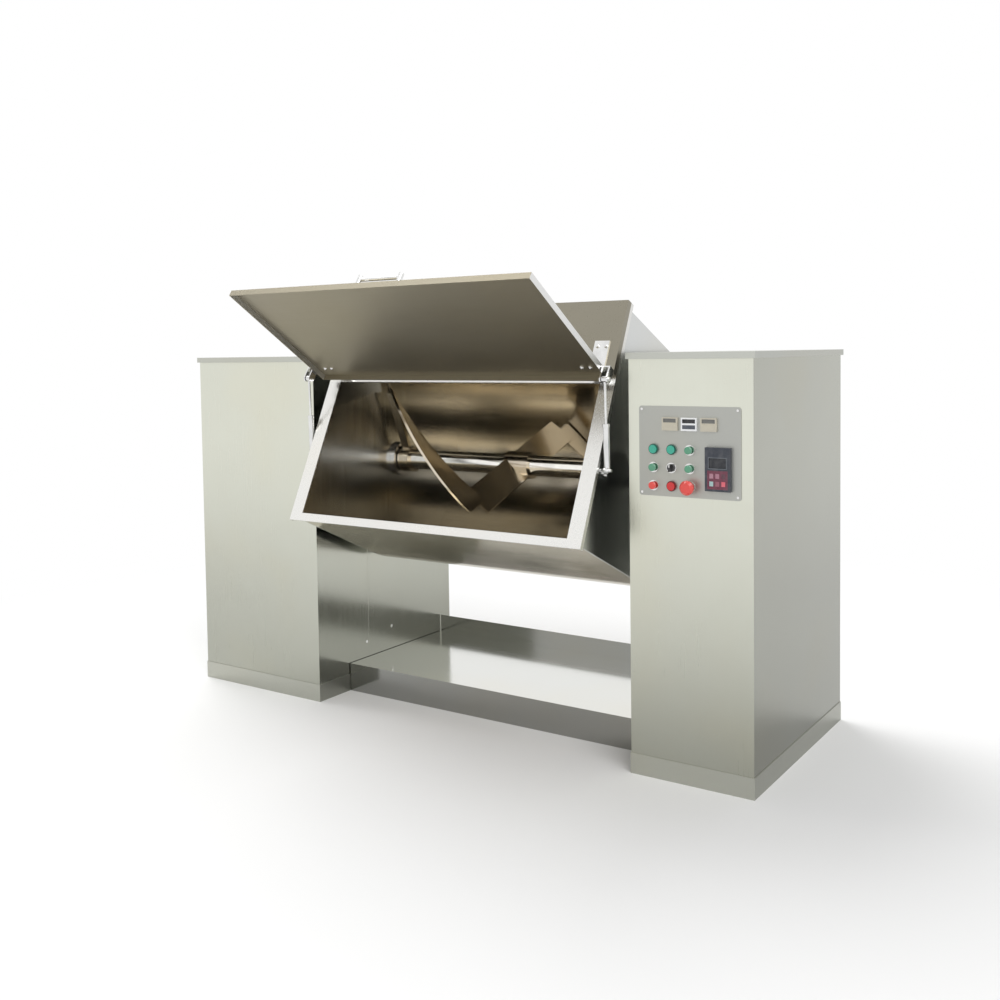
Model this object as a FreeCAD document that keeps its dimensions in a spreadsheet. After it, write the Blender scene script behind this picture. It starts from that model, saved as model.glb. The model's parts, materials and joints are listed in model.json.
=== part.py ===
"""Tilting trough mixer with a ribbon agitator, as a parametric FreeCAD document.

Frame: millimetres, +X along the agitator shaft towards the control cabinet, +Y to the rear,
+Z up. The origin is on the floor, in the middle of the base and straight under the shaft.
The trough is stored tilted forward with its lid open.
"""
import FreeCAD, Part
import math
import os

import Sketcher

Vector = FreeCAD.Vector
doc = FreeCAD.newDocument("ribbon_blender")

# ------------------------------------------------------------------ driving dimensions

SIZES = {
    # cabinets and base
    "overall_length": 2150, "cabinet_depth": 760, "cabinet_height": 1200,
    "left_cabinet_width": 575, "right_cabinet_width": 370, "cabinet_sheet": 3,
    "shell_setback": 2, "cover_lip": 18, "cover_overhang": 5, "cover_sheet": 2.5,
    "plinth_height": 60, "plinth_wall": 6, "rail_width": 60, "floor_plate": 8,
    "floor_plate_gap": 0.4,
    "deck_height": 98, "deck_sheet": 3, "deck_front_setback": 158, "deck_rear_setback": 60,
    "deck_side_gap": 1.5, "deck_upstand": 64,
    "wall_hole_radius": 80, "door_margin": 45, "door_lap": 12, "door_sheet": 3,
    "door_top_gap": 6, "louvre_pitch": 34, "louvre_rows": 6, "louvre_height": 10,
    "louvre_inset": 72, "screw_radius": 5, "screw_head": 3, "screw_edge": 10,
    # trough
    "shaft_height": 820, "trough_tilt": 65, "left_gap": 50, "right_gap": 57,
    "trough_radius": 358, "trough_sheet": 4, "end_plate": 6, "rim_height": 440,
    "rim_plate": 6, "rim_side_overhang": 12, "rim_lap": 12, "rim_side_band": 48,
    "rim_edge_band": 26, "rim_turndown": 15, "rim_turndown_sheet": 3,
    "mouth_top": 118, "rim_bar": 20,
    # rear cover, lid and hinges
    "pan_depth": 20, "pan_sheet": 2.5, "hinge_offset": 130, "hinge_rise": 3,
    "knuckle_radius": 7, "knuckle_gap": 9, "knuckle_play": 0.5, "hinge_pin_radius": 3.5,
    "hinge_pin_end": 3, "hinge_inset": 56, "hinge_knuckle": 16, "hinge_strap_length": 112,
    "lid_strap_length": 70, "strap_sheet": 3.5, "bolt_radius": 6, "bolt_head": 5,
    "hinge_bolt_spread": 14, "cover_bolt_back": 96, "lid_bolt_back": 48,
    "lid_length": 500, "lid_side_inset": 2, "lid_seat_gap": 0.6, "lid_open_angle": 98.5,
    "handle_span": 150, "handle_setback": 40, "handle_post_height": 54,
    "handle_post_radius": 8, "handle_grip_height": 42, "handle_grip_radius": 6.5,
    "handle_foot_radius": 14, "handle_foot": 4,
    # stays
    "stay_offset": 15, "stay_eye_radius": 9, "stay_eye_width": 14, "stay_pin_radius": 5,
    "stay_tube_radius": 9, "stay_tube_length": 132, "stay_rod_radius": 4,
    "stay_rod_inside": 66, "stay_cap_length": 10, "stay_cap_rise": 1.5, "stay_bottom": 6,
    "stud_back": 135, "stud_below_rim": 32, "stud_plate": 6, "stud_plate_width": 30,
    "stud_plate_above": 15, "stud_plate_below": 47, "stud_bolt_pitch": 18,
    "knee_reach": 55.6, "knee_drop": 44.7, "knee_pin_radius": 4, "knee_rivet_radius": 6,
    "knee_rivet_head": 3, "crank_sheet": 4, "crank_play": 1.5, "crank_head_radius": 12,
    "crank_roof_drop": 9,
    # trunnions, bearings and seals
    "trunnion_radius": 55, "trunnion_bore": 45, "trunnion_flange_radius": 105,
    "trunnion_flange": 12, "trunnion_fillet": 18, "trunnion_end": 12, "tilt_drive_end": 24,
    "bearing_width": 70, "bearing_radius": 92, "bearing_height": 110,
    "bearing_foot_length": 290, "bearing_foot": 26, "bearing_inset": 62,
    "stand_margin": 15, "stand_plate": 16, "stand_web": 12, "stand_cheek_inset": 30,
    "seal_radius": 60, "seal_length": 18, "seal_gap": 0.5, "plate_hole_gap": 1,
    "bush_length": 70,
    # agitator
    "shaft_radius": 35, "shaft_chamfer": 3, "shaft_left_end": 8, "shaft_right_end": 4,
    "ribbon_outer": 350, "ribbon_inner": 262, "ribbon_thickness": 11, "ribbon_sweep": 92,
    "ribbon_end_gap": 6, "arm_angle": 135, "arm_width": 100, "arm_thickness": 12,
    "arm_bite": 0.6, "arm_root": 24, "arm_boss_radius": 46, "arm_boss_length": 96,
    "end_arm_width": 32, "boss_gap": 4, "arm_tip_bite": 4, "end_boss_length": 46,
    # main motor and its belt drive
    "running_gap": 0.08, "motor_height": 200, "motor_radius": 92, "motor_length": 250,
    "motor_front": -85, "motor_foot_width": 216, "motor_foot": 14, "motor_foot_inset": 40,
    "motor_leg_spread": 52, "motor_leg_top": 57, "fin_count": 24, "fin_height": 9,
    "fin_thickness": 3, "fin_root": 3, "fin_end_gap": 8, "motor_shaft_gap": 0.32,
    "terminal_width": 80,
    "terminal_depth": 90, "terminal_reach": 34, "terminal_sink": 26, "terminal_front": 80,
    "cowl_length": 70, "cowl_lap": 4, "cowl_sheet": 2, "cowl_bend": 14, "cowl_hub": 12,
    "cowl_slots": 12, "cowl_slot_width": 8, "cowl_slot_low": 32, "cowl_slot_high": 66,
    "pulley_face": 44, "pulley_back": 205, "motor_pulley_radius": 50,
    "reducer_pulley_radius": 100, "pulley_lip": 2, "pulley_hub": 14, "pulley_hub_step": 10,
    "pulley_shaft": 60, "groove_slope": 0.34, "groove_clearance": 2, "belt_width": 13,
    "belt_depth": 9, "belt_pitch": 18, "belt_gap": 0.4, "drive_shaft_radius": 14,
    # main reducer and its stand
    "reducer_bore_length": 200, "reducer_inset": 200, "worm_drop": 135,
    "reducer_radius": 118, "reducer_hub_radius": 64, "reducer_hub_reach": 30,
    "reducer_below_worm": 70, "reducer_foot_width": 300, "reducer_foot": 22,
    "snout_radius": 48, "snout_reach": 42, "snout_sink": 4, "snout_bore": 72,
    "reducer_rib": 8, "reducer_rib_rise": 10, "reducer_rib_inset": 15,
    "table_width": 290, "table_depth": 320, "table_plate": 14, "table_leg": 30,
    # tilting drive
    "tilt_reducer_width": 110, "tilt_reducer_inset": 160, "tilt_reducer_radius": 105,
    "tilt_reducer_crown": 42, "tilt_hub_radius": 82, "tilt_hub_reach": 12,
    "tilt_flange": 12, "tilt_flange_rise": 6, "tilt_motor_rise": 118,
    "tilt_motor_radius": 66, "tilt_motor_length": 200, "tilt_fin_count": 18,
    "tilt_fin_height": 7, "tilt_fin_start": 6, "tilt_cowl_length": 50, "tilt_motor_cap": 2,
    "tilt_terminal_width": 68, "tilt_terminal_depth": 76, "tilt_terminal_start": 30,
    "tilt_terminal_reach": 26, "tilt_terminal_sink": 14,
    # control panel
    "panel_width": 300, "panel_height": 250, "panel_sheet": 2, "panel_drop": 273,
    "panel_corner": 8, "panel_window_edge": 18, "panel_screw_inset": 9,
    "panel_screw_radius": 3.5, "panel_screw_head": 2,
    "column_pitch": 54, "row_pitch": 50.5, "first_column": -105, "first_row": 5.5,
    "bezel_radius": 14.5, "bezel_height": 4, "bezel_hole": 11, "bezel_hole_gap": 0.2,
    "bezel_neck": 19, "button_radius": 10.6, "button_height": 7, "button_edge": 1.5,
    "button_stem": 6, "button_back": 14, "button_travel": 4, "button_clearance": 1,
    "lamp_rim": 5, "lamp_height": 9, "lamp_edge": 3,
    "estop_radius": 20, "estop_height": 24, "estop_neck_radius": 12.4, "estop_skirt": 10.8,
    "estop_brim": 6, "estop_crown": 6, "selector_gap": 0.5, "selector_plate": 4.5,
    "selector_lever": 7, "selector_lever_rise": 10, "selector_lever_inset": 1,
    "block_width": 28, "block_depth": 36, "block_height": 40,
    "meter_width": 46, "meter_height": 36, "meter_depth": 6, "meter_row": 76,
    "first_meter": -55, "meter_pitch": 57, "meter_window_edge": 7, "meter_window_sink": 1,
    "meter_window_top": 4,
    "keypad_width": 72, "keypad_height": 118, "keypad_thick": 12, "keypad_offset": 87,
    "keypad_drop": 43, "display_width": 48, "display_height": 26, "display_bottom": 4,
    "display_sink": 2, "key_field_width": 54, "key_field_height": 46, "key_field_bottom": -50,
    "key_field_sink": 1, "key_width": 13, "key_height": 15, "key_rise": 1.2,
    "key_column_pitch": 17, "key_row_pitch": 21, "key_first_row": -46,
    # gear on the outer cabinet wall
    "gear_plate": 3, "gear_plate_depth": 190, "gear_plate_height": 420,
    "gear_plate_bottom": 300, "gear_front_gap": 30, "gear_edge": 5,
    "speed_drive_width": 100, "speed_drive_depth": 130, "speed_drive_height": 210,
    "speed_drive_bottom": 480, "contactors": 3, "contactor_width": 78,
    "contactor_depth": 46, "contactor_height": 74, "contactor_pitch": 56,
    "contactor_bottom": 340,
}

sheet = doc.addObject("Spreadsheet::Sheet", "Sizes")
for row, (alias, number) in enumerate(SIZES.items(), start=1):
    sheet.set("A%d" % row, alias)
    sheet.set("B%d" % row, str(number))
    sheet.setAlias("B%d" % row, alias)
doc.recompute()


class Dim:
    """A length or angle together with the sheet expression that gives it."""

    def __init__(self, value, text):
        self.value = float(value)
        self.text = text

    def _join(self, other, sign, value, swap=False):
        first, second = (other, self) if swap else (self, other)
        return Dim(value, "(%s %s %s)" % (text(first), sign, text(second)))

    def __add__(self, other):
        return self._join(other, "+", self.value + num(other))

    def __radd__(self, other):
        return self._join(other, "+", num(other) + self.value, swap=True)

    def __sub__(self, other):
        return self._join(other, "-", self.value - num(other))

    def __rsub__(self, other):
        return self._join(other, "-", num(other) - self.value, swap=True)

    def __mul__(self, other):
        return self._join(other, "*", self.value * num(other))

    def __rmul__(self, other):
        return self._join(other, "*", num(other) * self.value, swap=True)

    def __truediv__(self, other):
        return self._join(other, "/", self.value / num(other))

    def __rtruediv__(self, other):
        return self._join(other, "/", num(other) / self.value, swap=True)

    def __neg__(self):
        return Dim(-self.value, "(-1 * %s)" % self.text)


def num(item):
    """The plain number of a Dim or a number."""
    return item.value if isinstance(item, Dim) else float(item)


def text(item):
    """The expression of a Dim or a number."""
    return item.text if isinstance(item, Dim) else repr(float(item))


def size(alias):
    """One driving dimension as a Dim."""
    return Dim(SIZES[alias], "Sizes." + alias)


def cosd(angle):
    return Dim(math.cos(math.radians(num(angle))), "cos(%s)" % text(angle))


def sind(angle):
    return Dim(math.sin(math.radians(num(angle))), "sin(%s)" % text(angle))


def hypot(a, b):
    return Dim(math.hypot(num(a), num(b)), "sqrt(%s ^ 2 + %s ^ 2)" % (text(a), text(b)))


def atan2d(rise, run):
    value = math.degrees(math.atan2(num(rise), num(run)))
    return Dim(value, "(atan2(%s; %s) / 1 deg)" % (text(rise), text(run)))


# ------------------------------------------------------------------ places worked out once

half_length = size("overall_length") / 2
half_depth = size("cabinet_depth") / 2
left_wall = size("left_cabinet_width") - half_length
right_wall = half_length - size("right_cabinet_width")
rim_left = left_wall + size("left_gap")
rim_right = right_wall - size("right_gap")
end_left = rim_left + size("rim_side_overhang")
end_right = rim_right - size("rim_side_overhang")
inside_left = end_left + size("end_plate")
inside_right = end_right - size("end_plate")
trough_middle = (inside_left + inside_right) / 2
shell_radius = size("trough_radius") + size("trough_sheet")
rim_half = shell_radius + size("rim_lap")
rim_under = size("rim_height") - size("rim_plate")
hinge_height = size("rim_height") + size("pan_depth") + size("hinge_rise")
left_bearing = left_wall - size("bearing_inset")
right_bearing = right_wall + size("bearing_inset")
reducer_middle = left_bearing - size("reducer_inset")
worm_height = size("shaft_height") - size("worm_drop")
tilt_reducer_middle = right_bearing + size("tilt_reducer_inset")
stand_top = size("shaft_height") - size("bearing_height")
base_top = size("plinth_height") + size("floor_plate")
panel_middle = half_length - size("right_cabinet_width") / 2
panel_front = -half_depth + size("shell_setback") - size("panel_sheet")
panel_height_middle = size("cabinet_height") - size("panel_drop")
tilt = size("trough_tilt")

# ------------------------------------------------------------------ helpers


def bind(item, prop, dim):
    """Set a property to a Dim and keep it tied to the sheet."""
    setattr(item, prop, num(dim))
    if isinstance(dim, Dim):
        item.setExpression(prop, dim.text)


def turn(x, y, z, axis, angle):
    """Expression of a placement: a shift, after a turn about one axis."""
    shift = "create(<<vector>>; %s; %s; %s)" % (text(x), text(y), text(z))
    spin = "create(<<vector>>; %g; %g; %g)" % axis
    return "create(<<placement>>; %s; create(<<rotation>>; %s; %s))" % (shift, spin, text(angle))


def place(item, *steps):
    """Tie a placement to the product of the given turns."""
    item.setExpression("Placement", " * ".join(steps))
    return item


X_AXIS, Y_AXIS, Z_AXIS = (1, 0, 0), (0, 1, 0), (0, 0, 1)


def at(x, y, z):
    return turn(x, y, z, Z_AXIS, 0)


def trough_frame(x=0):
    """Upright trough coordinates about the shaft, tilted with the trough."""
    return turn(x, 0, size("shaft_height"), X_AXIS, tilt)


def hinge_frame(x=0):
    """Closed-lid coordinates about the hinge pin, with the lid swung open."""
    back, up = size("hinge_offset"), hinge_height
    y = back * cosd(tilt) - up * sind(tilt)
    z = size("shaft_height") + back * sind(tilt) + up * cosd(tilt)
    return turn(x, y, z, X_AXIS, tilt - size("lid_open_angle"))


def box(length, width, height, x=0, y=0, z=0, frame=None):
    """A block with its low corner at x, y, z of a frame."""
    item = doc.addObject("Part::Box", "block")
    bind(item, "Length", length)
    bind(item, "Width", width)
    bind(item, "Height", height)
    steps = [frame] if frame else []
    return place(item, *steps, at(x, y, z))


def bar(radius, length, x=0, y=0, z=0, axis="X", frame=None):
    """A round bar from x, y, z along an axis of a frame."""
    item = doc.addObject("Part::Cylinder", "bar")
    bind(item, "Radius", radius)
    bind(item, "Height", length)
    lay = {"X": (Y_AXIS, 90), "Y": (X_AXIS, -90), "Z": (Z_AXIS, 0)}[axis]
    steps = [frame] if frame else []
    return place(item, *steps, turn(x, y, z, *lay))


def cut(base, *tools):
    """A piece with every tool taken away."""
    item = base
    for tool in tools:
        result = doc.addObject("Part::Cut", "cut")
        result.Base = item
        result.Tool = tool
        item = result
    return item


def fuse(*pieces):
    """One solid from overlapping pieces."""
    item = doc.addObject("Part::MultiFuse", "fusion")
    item.Shapes = list(pieces)
    item.Refine = True
    return item


def group(*pieces):
    """Separate solids that share one node."""
    item = doc.addObject("Part::Compound", "group")
    item.Links = list(pieces)
    return item


NODES = []


def node(label, item):
    """Name a finished piece; its label names its file."""
    item.Label = label
    NODES.append(item)
    return item


def new_body(label):
    body = doc.addObject("PartDesign::Body", label)
    return node(label, body)


def new_sketch(body, plane, offset=0):
    """A sketch on one of the body's own origin planes, moved along its normal."""
    item = body.newObject("Sketcher::SketchObject", "sketch")
    planes = [p for p in body.Origin.OriginFeatures if p.Role == plane + "_Plane"]
    item.AttachmentSupport = [(planes[0], "")]
    item.MapMode = "FlatFace"
    item.AttachmentOffset = FreeCAD.Placement(Vector(0, 0, num(offset)), FreeCAD.Rotation())
    if isinstance(offset, Dim):
        item.setExpression("AttachmentOffset.Base.z", offset.text)
    return item


def hold(item, kind, geometry, end, value):
    """Hold a sketch point at a distance from the sketch origin."""
    rule = Sketcher.Constraint(kind, -1, 1, geometry, end, num(value))
    number = item.addConstraint(rule)
    if isinstance(value, Dim):
        item.setExpression("Constraints[%d]" % number, value.text)


def outline(item, points):
    """A closed outline through corners (x, y), or (x, y, centre x, centre y, turn) where an
    arc about that centre leads on to the next corner, turning left (1) or right (-1)."""
    first = item.GeometryCount
    count = len(points)
    for step, corner in enumerate(points):
        start = Vector(num(corner[0]), num(corner[1]), 0)
        following = points[(step + 1) % count]
        end = Vector(num(following[0]), num(following[1]), 0)
        if len(corner) == 2:
            item.addGeometry(Part.LineSegment(start, end), False)
            continue
        centre = Vector(num(corner[2]), num(corner[3]), 0)
        circle = Part.Circle(centre, Vector(0, 0, 1), (start - centre).Length)
        low, high = (start, end) if corner[4] > 0 else (end, start)
        angles = [math.atan2(p.y - centre.y, p.x - centre.x) for p in (low, high)]
        item.addGeometry(Part.ArcOfCircle(circle, angles[0], angles[1]), False)

    def tip(step, is_end):
        corner = points[step % count]
        flipped = len(corner) == 5 and corner[4] < 0
        return (first + step % count, 1 if is_end == flipped else 2)

    for step, corner in enumerate(points):
        here = tip(step, False)
        there = tip(step - 1, True)
        item.addConstraint(Sketcher.Constraint("Coincident", there[0], there[1], *here))
        hold(item, "DistanceX", here[0], here[1], corner[0])
        hold(item, "DistanceY", here[0], here[1], corner[1])
        if len(corner) == 5:
            following = points[(step + 1) % count]
            upright = abs(num(following[0]) - num(corner[0])) < 1e-6
            kind, value = ("DistanceX", corner[2]) if upright else ("DistanceY", corner[3])
            hold(item, kind, first + step, 3, value)


def ring(item, x, y, radius):
    """A full circle in a sketch."""
    centre = Vector(num(x), num(y), 0)
    number = item.addGeometry(Part.Circle(centre, Vector(0, 0, 1), num(radius)), False)
    hold(item, "DistanceX", number, 3, x)
    hold(item, "DistanceY", number, 3, y)
    rule = item.addConstraint(Sketcher.Constraint("Radius", number, num(radius)))
    if isinstance(radius, Dim):
        item.setExpression("Constraints[%d]" % rule, radius.text)


def rectangle(item, x0, y0, x1, y1):
    outline(item, [(x0, y0), (x1, y0), (x1, y1), (x0, y1)])


def pad(body, profile, length, midplane=False, reverse=False):
    feature = body.newObject("PartDesign::Pad", "pad")
    feature.Profile = profile
    bind(feature, "Length", length)
    feature.Midplane = midplane
    feature.Reversed = reverse
    return feature


def pocket(body, profile, length=None, reverse=False):
    """A cut that has to take something away."""
    doc.recompute()
    before = body.Shape.Volume
    feature = body.newObject("PartDesign::Pocket", "pocket")
    feature.Profile = profile
    feature.Reversed = reverse
    if length is None:
        feature.Type = "ThroughAll"
        feature.Midplane = True
    else:
        bind(feature, "Length", length)
    doc.recompute()
    if not body.Shape.Volume < before - 1e-3:
        raise RuntimeError("a pocket in %s cuts nothing" % body.Label)
    return feature


def revolve(body, profile, axis="H_Axis"):
    feature = body.newObject("PartDesign::Revolution", "revolution")
    feature.Profile = profile
    feature.ReferenceAxis = (profile, [axis])
    feature.Angle = 360
    return feature


def linear(body, feature, direction, length, count):
    """A row of copies of a feature."""
    pattern = body.newObject("PartDesign::LinearPattern", "row")
    pattern.Originals = [feature]
    axes = [a for a in body.Origin.OriginFeatures if a.Role == direction + "_Axis"]
    pattern.Direction = (axes[0], [""])
    bind(pattern, "Length", length)
    pattern.Occurrences = int(count)
    body.Tip = pattern
    return pattern


def polar(body, feature, axis, count):
    """Copies of a feature round an axis."""
    pattern = body.newObject("PartDesign::PolarPattern", "round")
    pattern.Originals = [feature]
    axes = [a for a in body.Origin.OriginFeatures if a.Role == axis + "_Axis"]
    pattern.Axis = (axes[0], [""])
    pattern.Angle = 360
    pattern.Occurrences = int(count)
    body.Tip = pattern
    return pattern


SIDES = (("left", -1), ("right", 1))

# ------------------------------------------------------------------ base and cabinets


def cabinet_span(side):
    """Low and high X of one cabinet."""
    return (-half_length, left_wall) if side == "left" else (right_wall, half_length)


def base_frame():
    """Welded skid: a plinth under each cabinet, joined by rails under the deck."""
    height, wall = size("plinth_height"), size("plinth_wall")
    depth, rail = size("cabinet_depth"), size("rail_width")
    inset = size("shell_setback") + size("cabinet_sheet") + size("floor_plate_gap")
    pieces = []
    for side, sign in SIDES:
        low, high = cabinet_span(side)
        outer = box(high - low, depth, height, low, -half_depth, 0)
        inner = box(high - low - 2 * wall, depth - 2 * wall, height, low + wall,
                    wall - half_depth, 0)
        plate = box(high - low - 2 * inset, depth - 2 * inset, size("floor_plate"),
                    low + inset, inset - half_depth, height)
        pieces += [cut(outer, inner), plate]
    front = size("deck_front_setback") + size("deck_sheet") - half_depth
    back = half_depth - size("deck_rear_setback") - rail
    for y in (front, -rail / 2, back):
        pieces.append(box(right_wall - left_wall, rail, size("deck_height") - size("deck_sheet"),
                          left_wall, y, 0))
    return node("base_frame", fuse(*pieces))


def base_deck():
    """Polished drip deck: a flat sheet with an apron folded down in front and a splash
    upstand folded up behind."""
    body = new_body("base_deck")
    front = size("deck_front_setback") - half_depth
    back = half_depth - size("deck_rear_setback")
    top, sheet_, crest = size("deck_height"), size("deck_sheet"), size("deck_upstand")
    section = new_sketch(body, "YZ", left_wall + size("deck_side_gap"))
    outline(section, [(front, 0), (front + sheet_, 0), (front + sheet_, top - sheet_),
                      (back, top - sheet_), (back, top + crest),
                      (back - sheet_, top + crest), (back - sheet_, top), (front, top)])
    pad(body, section, right_wall - left_wall - 2 * size("deck_side_gap"))
    return body


def cabinet_shell(side):
    """Folded sheet box, open below and above, with a door opening and a shaft hole."""
    body = new_body(side + "_cabinet_shell")
    low, high = cabinet_span(side)
    wall, inset = size("cabinet_sheet"), size("shell_setback")
    bottom, top = size("plinth_height"), size("cabinet_height") - size("cover_sheet")
    low, high = low + inset, high - inset
    front, back = inset - half_depth, half_depth - inset
    section = new_sketch(body, "XY", bottom)
    rectangle(section, low, front, high, back)
    rectangle(section, low + wall, front + wall, high - wall, back - wall)
    pad(body, section, top - bottom)
    margin = size("door_margin")
    opening = new_sketch(body, "XZ", -half_depth)
    rectangle(opening, low + margin, bottom + margin, high - margin, top - margin)
    pocket(body, opening, size("cabinet_depth") / 2, reverse=True)
    hole = new_sketch(body, "YZ", (low + high) / 2)
    ring(hole, 0, size("shaft_height"), size("wall_hole_radius"))
    pocket(body, hole, high - low, reverse=(side == "left"))
    if side == "right":
        window = new_sketch(body, "XZ", half_depth)
        edge = size("panel_window_edge")
        half = size("panel_width") / 2 - edge
        middle = panel_height_middle
        tall = size("panel_height") / 2 - edge
        rectangle(window, panel_middle - half, middle - tall, panel_middle + half, middle + tall)
        pocket(body, window, size("cabinet_depth") / 2)
    return body


def cabinet_top(side):
    """Lift-off cover: a flat pan whose lip overhangs the cabinet a little."""
    low, high = cabinet_span(side)
    over, skin = size("cover_overhang"), size("cover_sheet")
    low, high = low - over, high + over
    front, back = -half_depth - over, half_depth + over
    body = new_body(side + "_cabinet_top")
    top, lip = size("cabinet_height"), size("cover_lip")
    plan = new_sketch(body, "XY", top - lip)
    rectangle(plan, low, front, high, back)
    pad(body, plan, lip)
    hollow = new_sketch(body, "XY", top - skin)
    rectangle(hollow, low + skin, front + skin, high - skin, back - skin)
    pocket(body, hollow, lip - skin)
    return body


def rear_door(side):
    """Screwed rear panel with a block of pressed louvres."""
    low, high = cabinet_span(side)
    lap = size("door_margin") - size("door_lap")
    low, high = low + size("shell_setback") + lap, high - size("shell_setback") - lap
    bottom = size("plinth_height") + lap
    top = size("cabinet_height") - size("cover_lip") - size("door_top_gap")
    body = new_body(side + "_rear_door")
    plan = new_sketch(body, "XZ", -half_depth + size("shell_setback"))
    rectangle(plan, low, bottom, high, top)
    pad(body, plan, size("door_sheet"), reverse=True)
    slot = new_sketch(body, "XZ", -half_depth - size("door_sheet"))
    inset = size("louvre_inset")
    rise = bottom + inset
    rectangle(slot, low + inset, rise, high - inset, rise + size("louvre_height"))
    first = pocket(body, slot, 2 * size("door_sheet"), reverse=True)
    rows = SIZES["louvre_rows"]
    linear(body, first, "Z", size("louvre_pitch") * (rows - 1), rows)
    return body


def cabinet_screws():
    """Pan-head screws of both rear doors."""
    heads = []
    y = half_depth - size("shell_setback") + size("door_sheet")
    edge = size("door_margin") - size("door_lap") + size("screw_edge")
    low_row = size("plinth_height") + edge
    high_row = size("cabinet_height") - size("cover_lip") - size("door_top_gap") \
        - size("screw_edge")
    for side, sign in SIDES:
        low, high = cabinet_span(side)
        inset = edge + size("shell_setback")
        for x in (low + inset, high - inset):
            for z in (low_row, (low_row + high_row) / 2, high_row):
                heads.append(bar(size("screw_radius"), size("screw_head"), x, y, z, "Y"))
    return node("cabinet_screws", group(*heads))


def bearing_stand(side, low, high):
    """Box column that carries the trunnion bearing over the floor plate."""
    plate, web = size("stand_plate"), size("stand_web")
    inset = size("stand_cheek_inset")
    depth = size("bearing_foot_length")
    wide = high - low
    clear = stand_top - base_top - 2 * plate
    rise = base_top + plate
    foot = box(wide, depth, plate, low, -depth / 2, base_top)
    head = box(wide, depth, plate, low, -depth / 2, stand_top - plate)
    middle = box(wide, web, clear, low, -web / 2, rise)
    cheeks = [box(web, depth - 2 * inset, clear, x, inset - depth / 2, rise)
              for x in (low, high - web)]
    return node(side + "_bearing_stand", fuse(foot, head, middle, *cheeks))


def trunnion_bearings():
    """Cast pillow blocks round both trunnions."""
    blocks = []
    wide = size("bearing_width")
    radius, drop = size("bearing_radius"), size("bearing_height")
    foot = size("bearing_foot_length")
    base = size("bearing_foot")
    centre = size("shaft_height")
    bore = size("trunnion_radius") + size("running_gap")
    for middle in (left_bearing, right_bearing):
        low = middle - wide / 2
        sole = box(wide, foot, base, low, -foot / 2, centre - drop)
        neck = box(wide, 2 * radius, drop - base / 2, low, -radius, centre - drop + base / 2)
        round_ = bar(radius, wide, low, 0, centre, "X")
        hole = bar(bore, wide + 2, low - 1, 0, centre, "X")
        blocks.append(cut(fuse(sole, neck, round_), hole))
    return node("trunnion_bearings", group(*blocks))


def motor_shell():
    """Finned motor frame with feet and terminal box, its axis along Y."""
    body = new_body("main_motor")
    radius, fin = size("motor_radius"), size("fin_height")
    length = size("motor_length")
    core = radius - fin
    end = new_sketch(body, "XZ")
    ring(end, 0, 0, core)
    ring(end, 0, 0, size("drive_shaft_radius") + size("motor_shaft_gap"))
    pad(body, end, length)
    fin_plan = new_sketch(body, "XZ", size("fin_end_gap"))
    thin = size("fin_thickness") / 2
    rectangle(fin_plan, -thin, core - size("fin_root"), thin, radius)
    doc.recompute()
    fins = pad(body, fin_plan, length - 2 * size("fin_end_gap"))
    doc.recompute()
    polar(body, fins, "Y", SIZES["fin_count"])
    doc.recompute()
    drop = size("motor_height") - base_top
    feet = new_sketch(body, "XZ", size("motor_foot_inset"))
    half, spread = size("motor_foot_width") / 2, size("motor_leg_spread")
    rise, top = size("motor_foot") - drop, -size("motor_leg_top")
    outline(feet, [(-half, -drop), (half, -drop), (half, rise), (spread, rise),
                   (spread, top), (-spread, top), (-spread, rise), (-half, rise)])
    pad(body, feet, length - 2 * size("motor_foot_inset"))
    box_plan = new_sketch(body, "XZ", size("terminal_front"))
    tall = size("terminal_width") / 2
    rectangle(box_plan, -radius - size("terminal_reach"), -tall,
              size("terminal_sink") - radius, tall)
    pad(body, box_plan, size("terminal_depth"))
    place(body, at(reducer_middle, size("motor_front") + length, size("motor_height")))
    return body


def motor_cowl():
    """Fan cowl on the motor's front end, with a ring of air slots."""
    body = new_body("motor_cowl")
    radius, depth = size("motor_radius"), size("cowl_length")
    skin, bend, lap = size("cowl_sheet"), size("cowl_bend"), size("cowl_lap")
    hub = size("cowl_hub")
    section = new_sketch(body, "XY")
    outline(section, [(radius - skin, 0), (radius - skin, lap), (radius, lap),
                      (radius, bend - depth), (radius - bend, -depth), (hub, -depth),
                      (hub, skin - depth), (radius - bend, skin - depth),
                      (radius - skin, bend - depth)])
    revolve(body, section, "V_Axis")
    doc.recompute()
    slot = new_sketch(body, "XZ", depth + skin)
    half = size("cowl_slot_width") / 2
    rectangle(slot, -half, size("cowl_slot_low"), half, size("cowl_slot_high"))
    first = pocket(body, slot, 3 * skin)
    polar(body, first, "Y", SIZES["cowl_slots"])
    place(body, at(reducer_middle, size("motor_front"), size("motor_height")))
    return body


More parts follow.
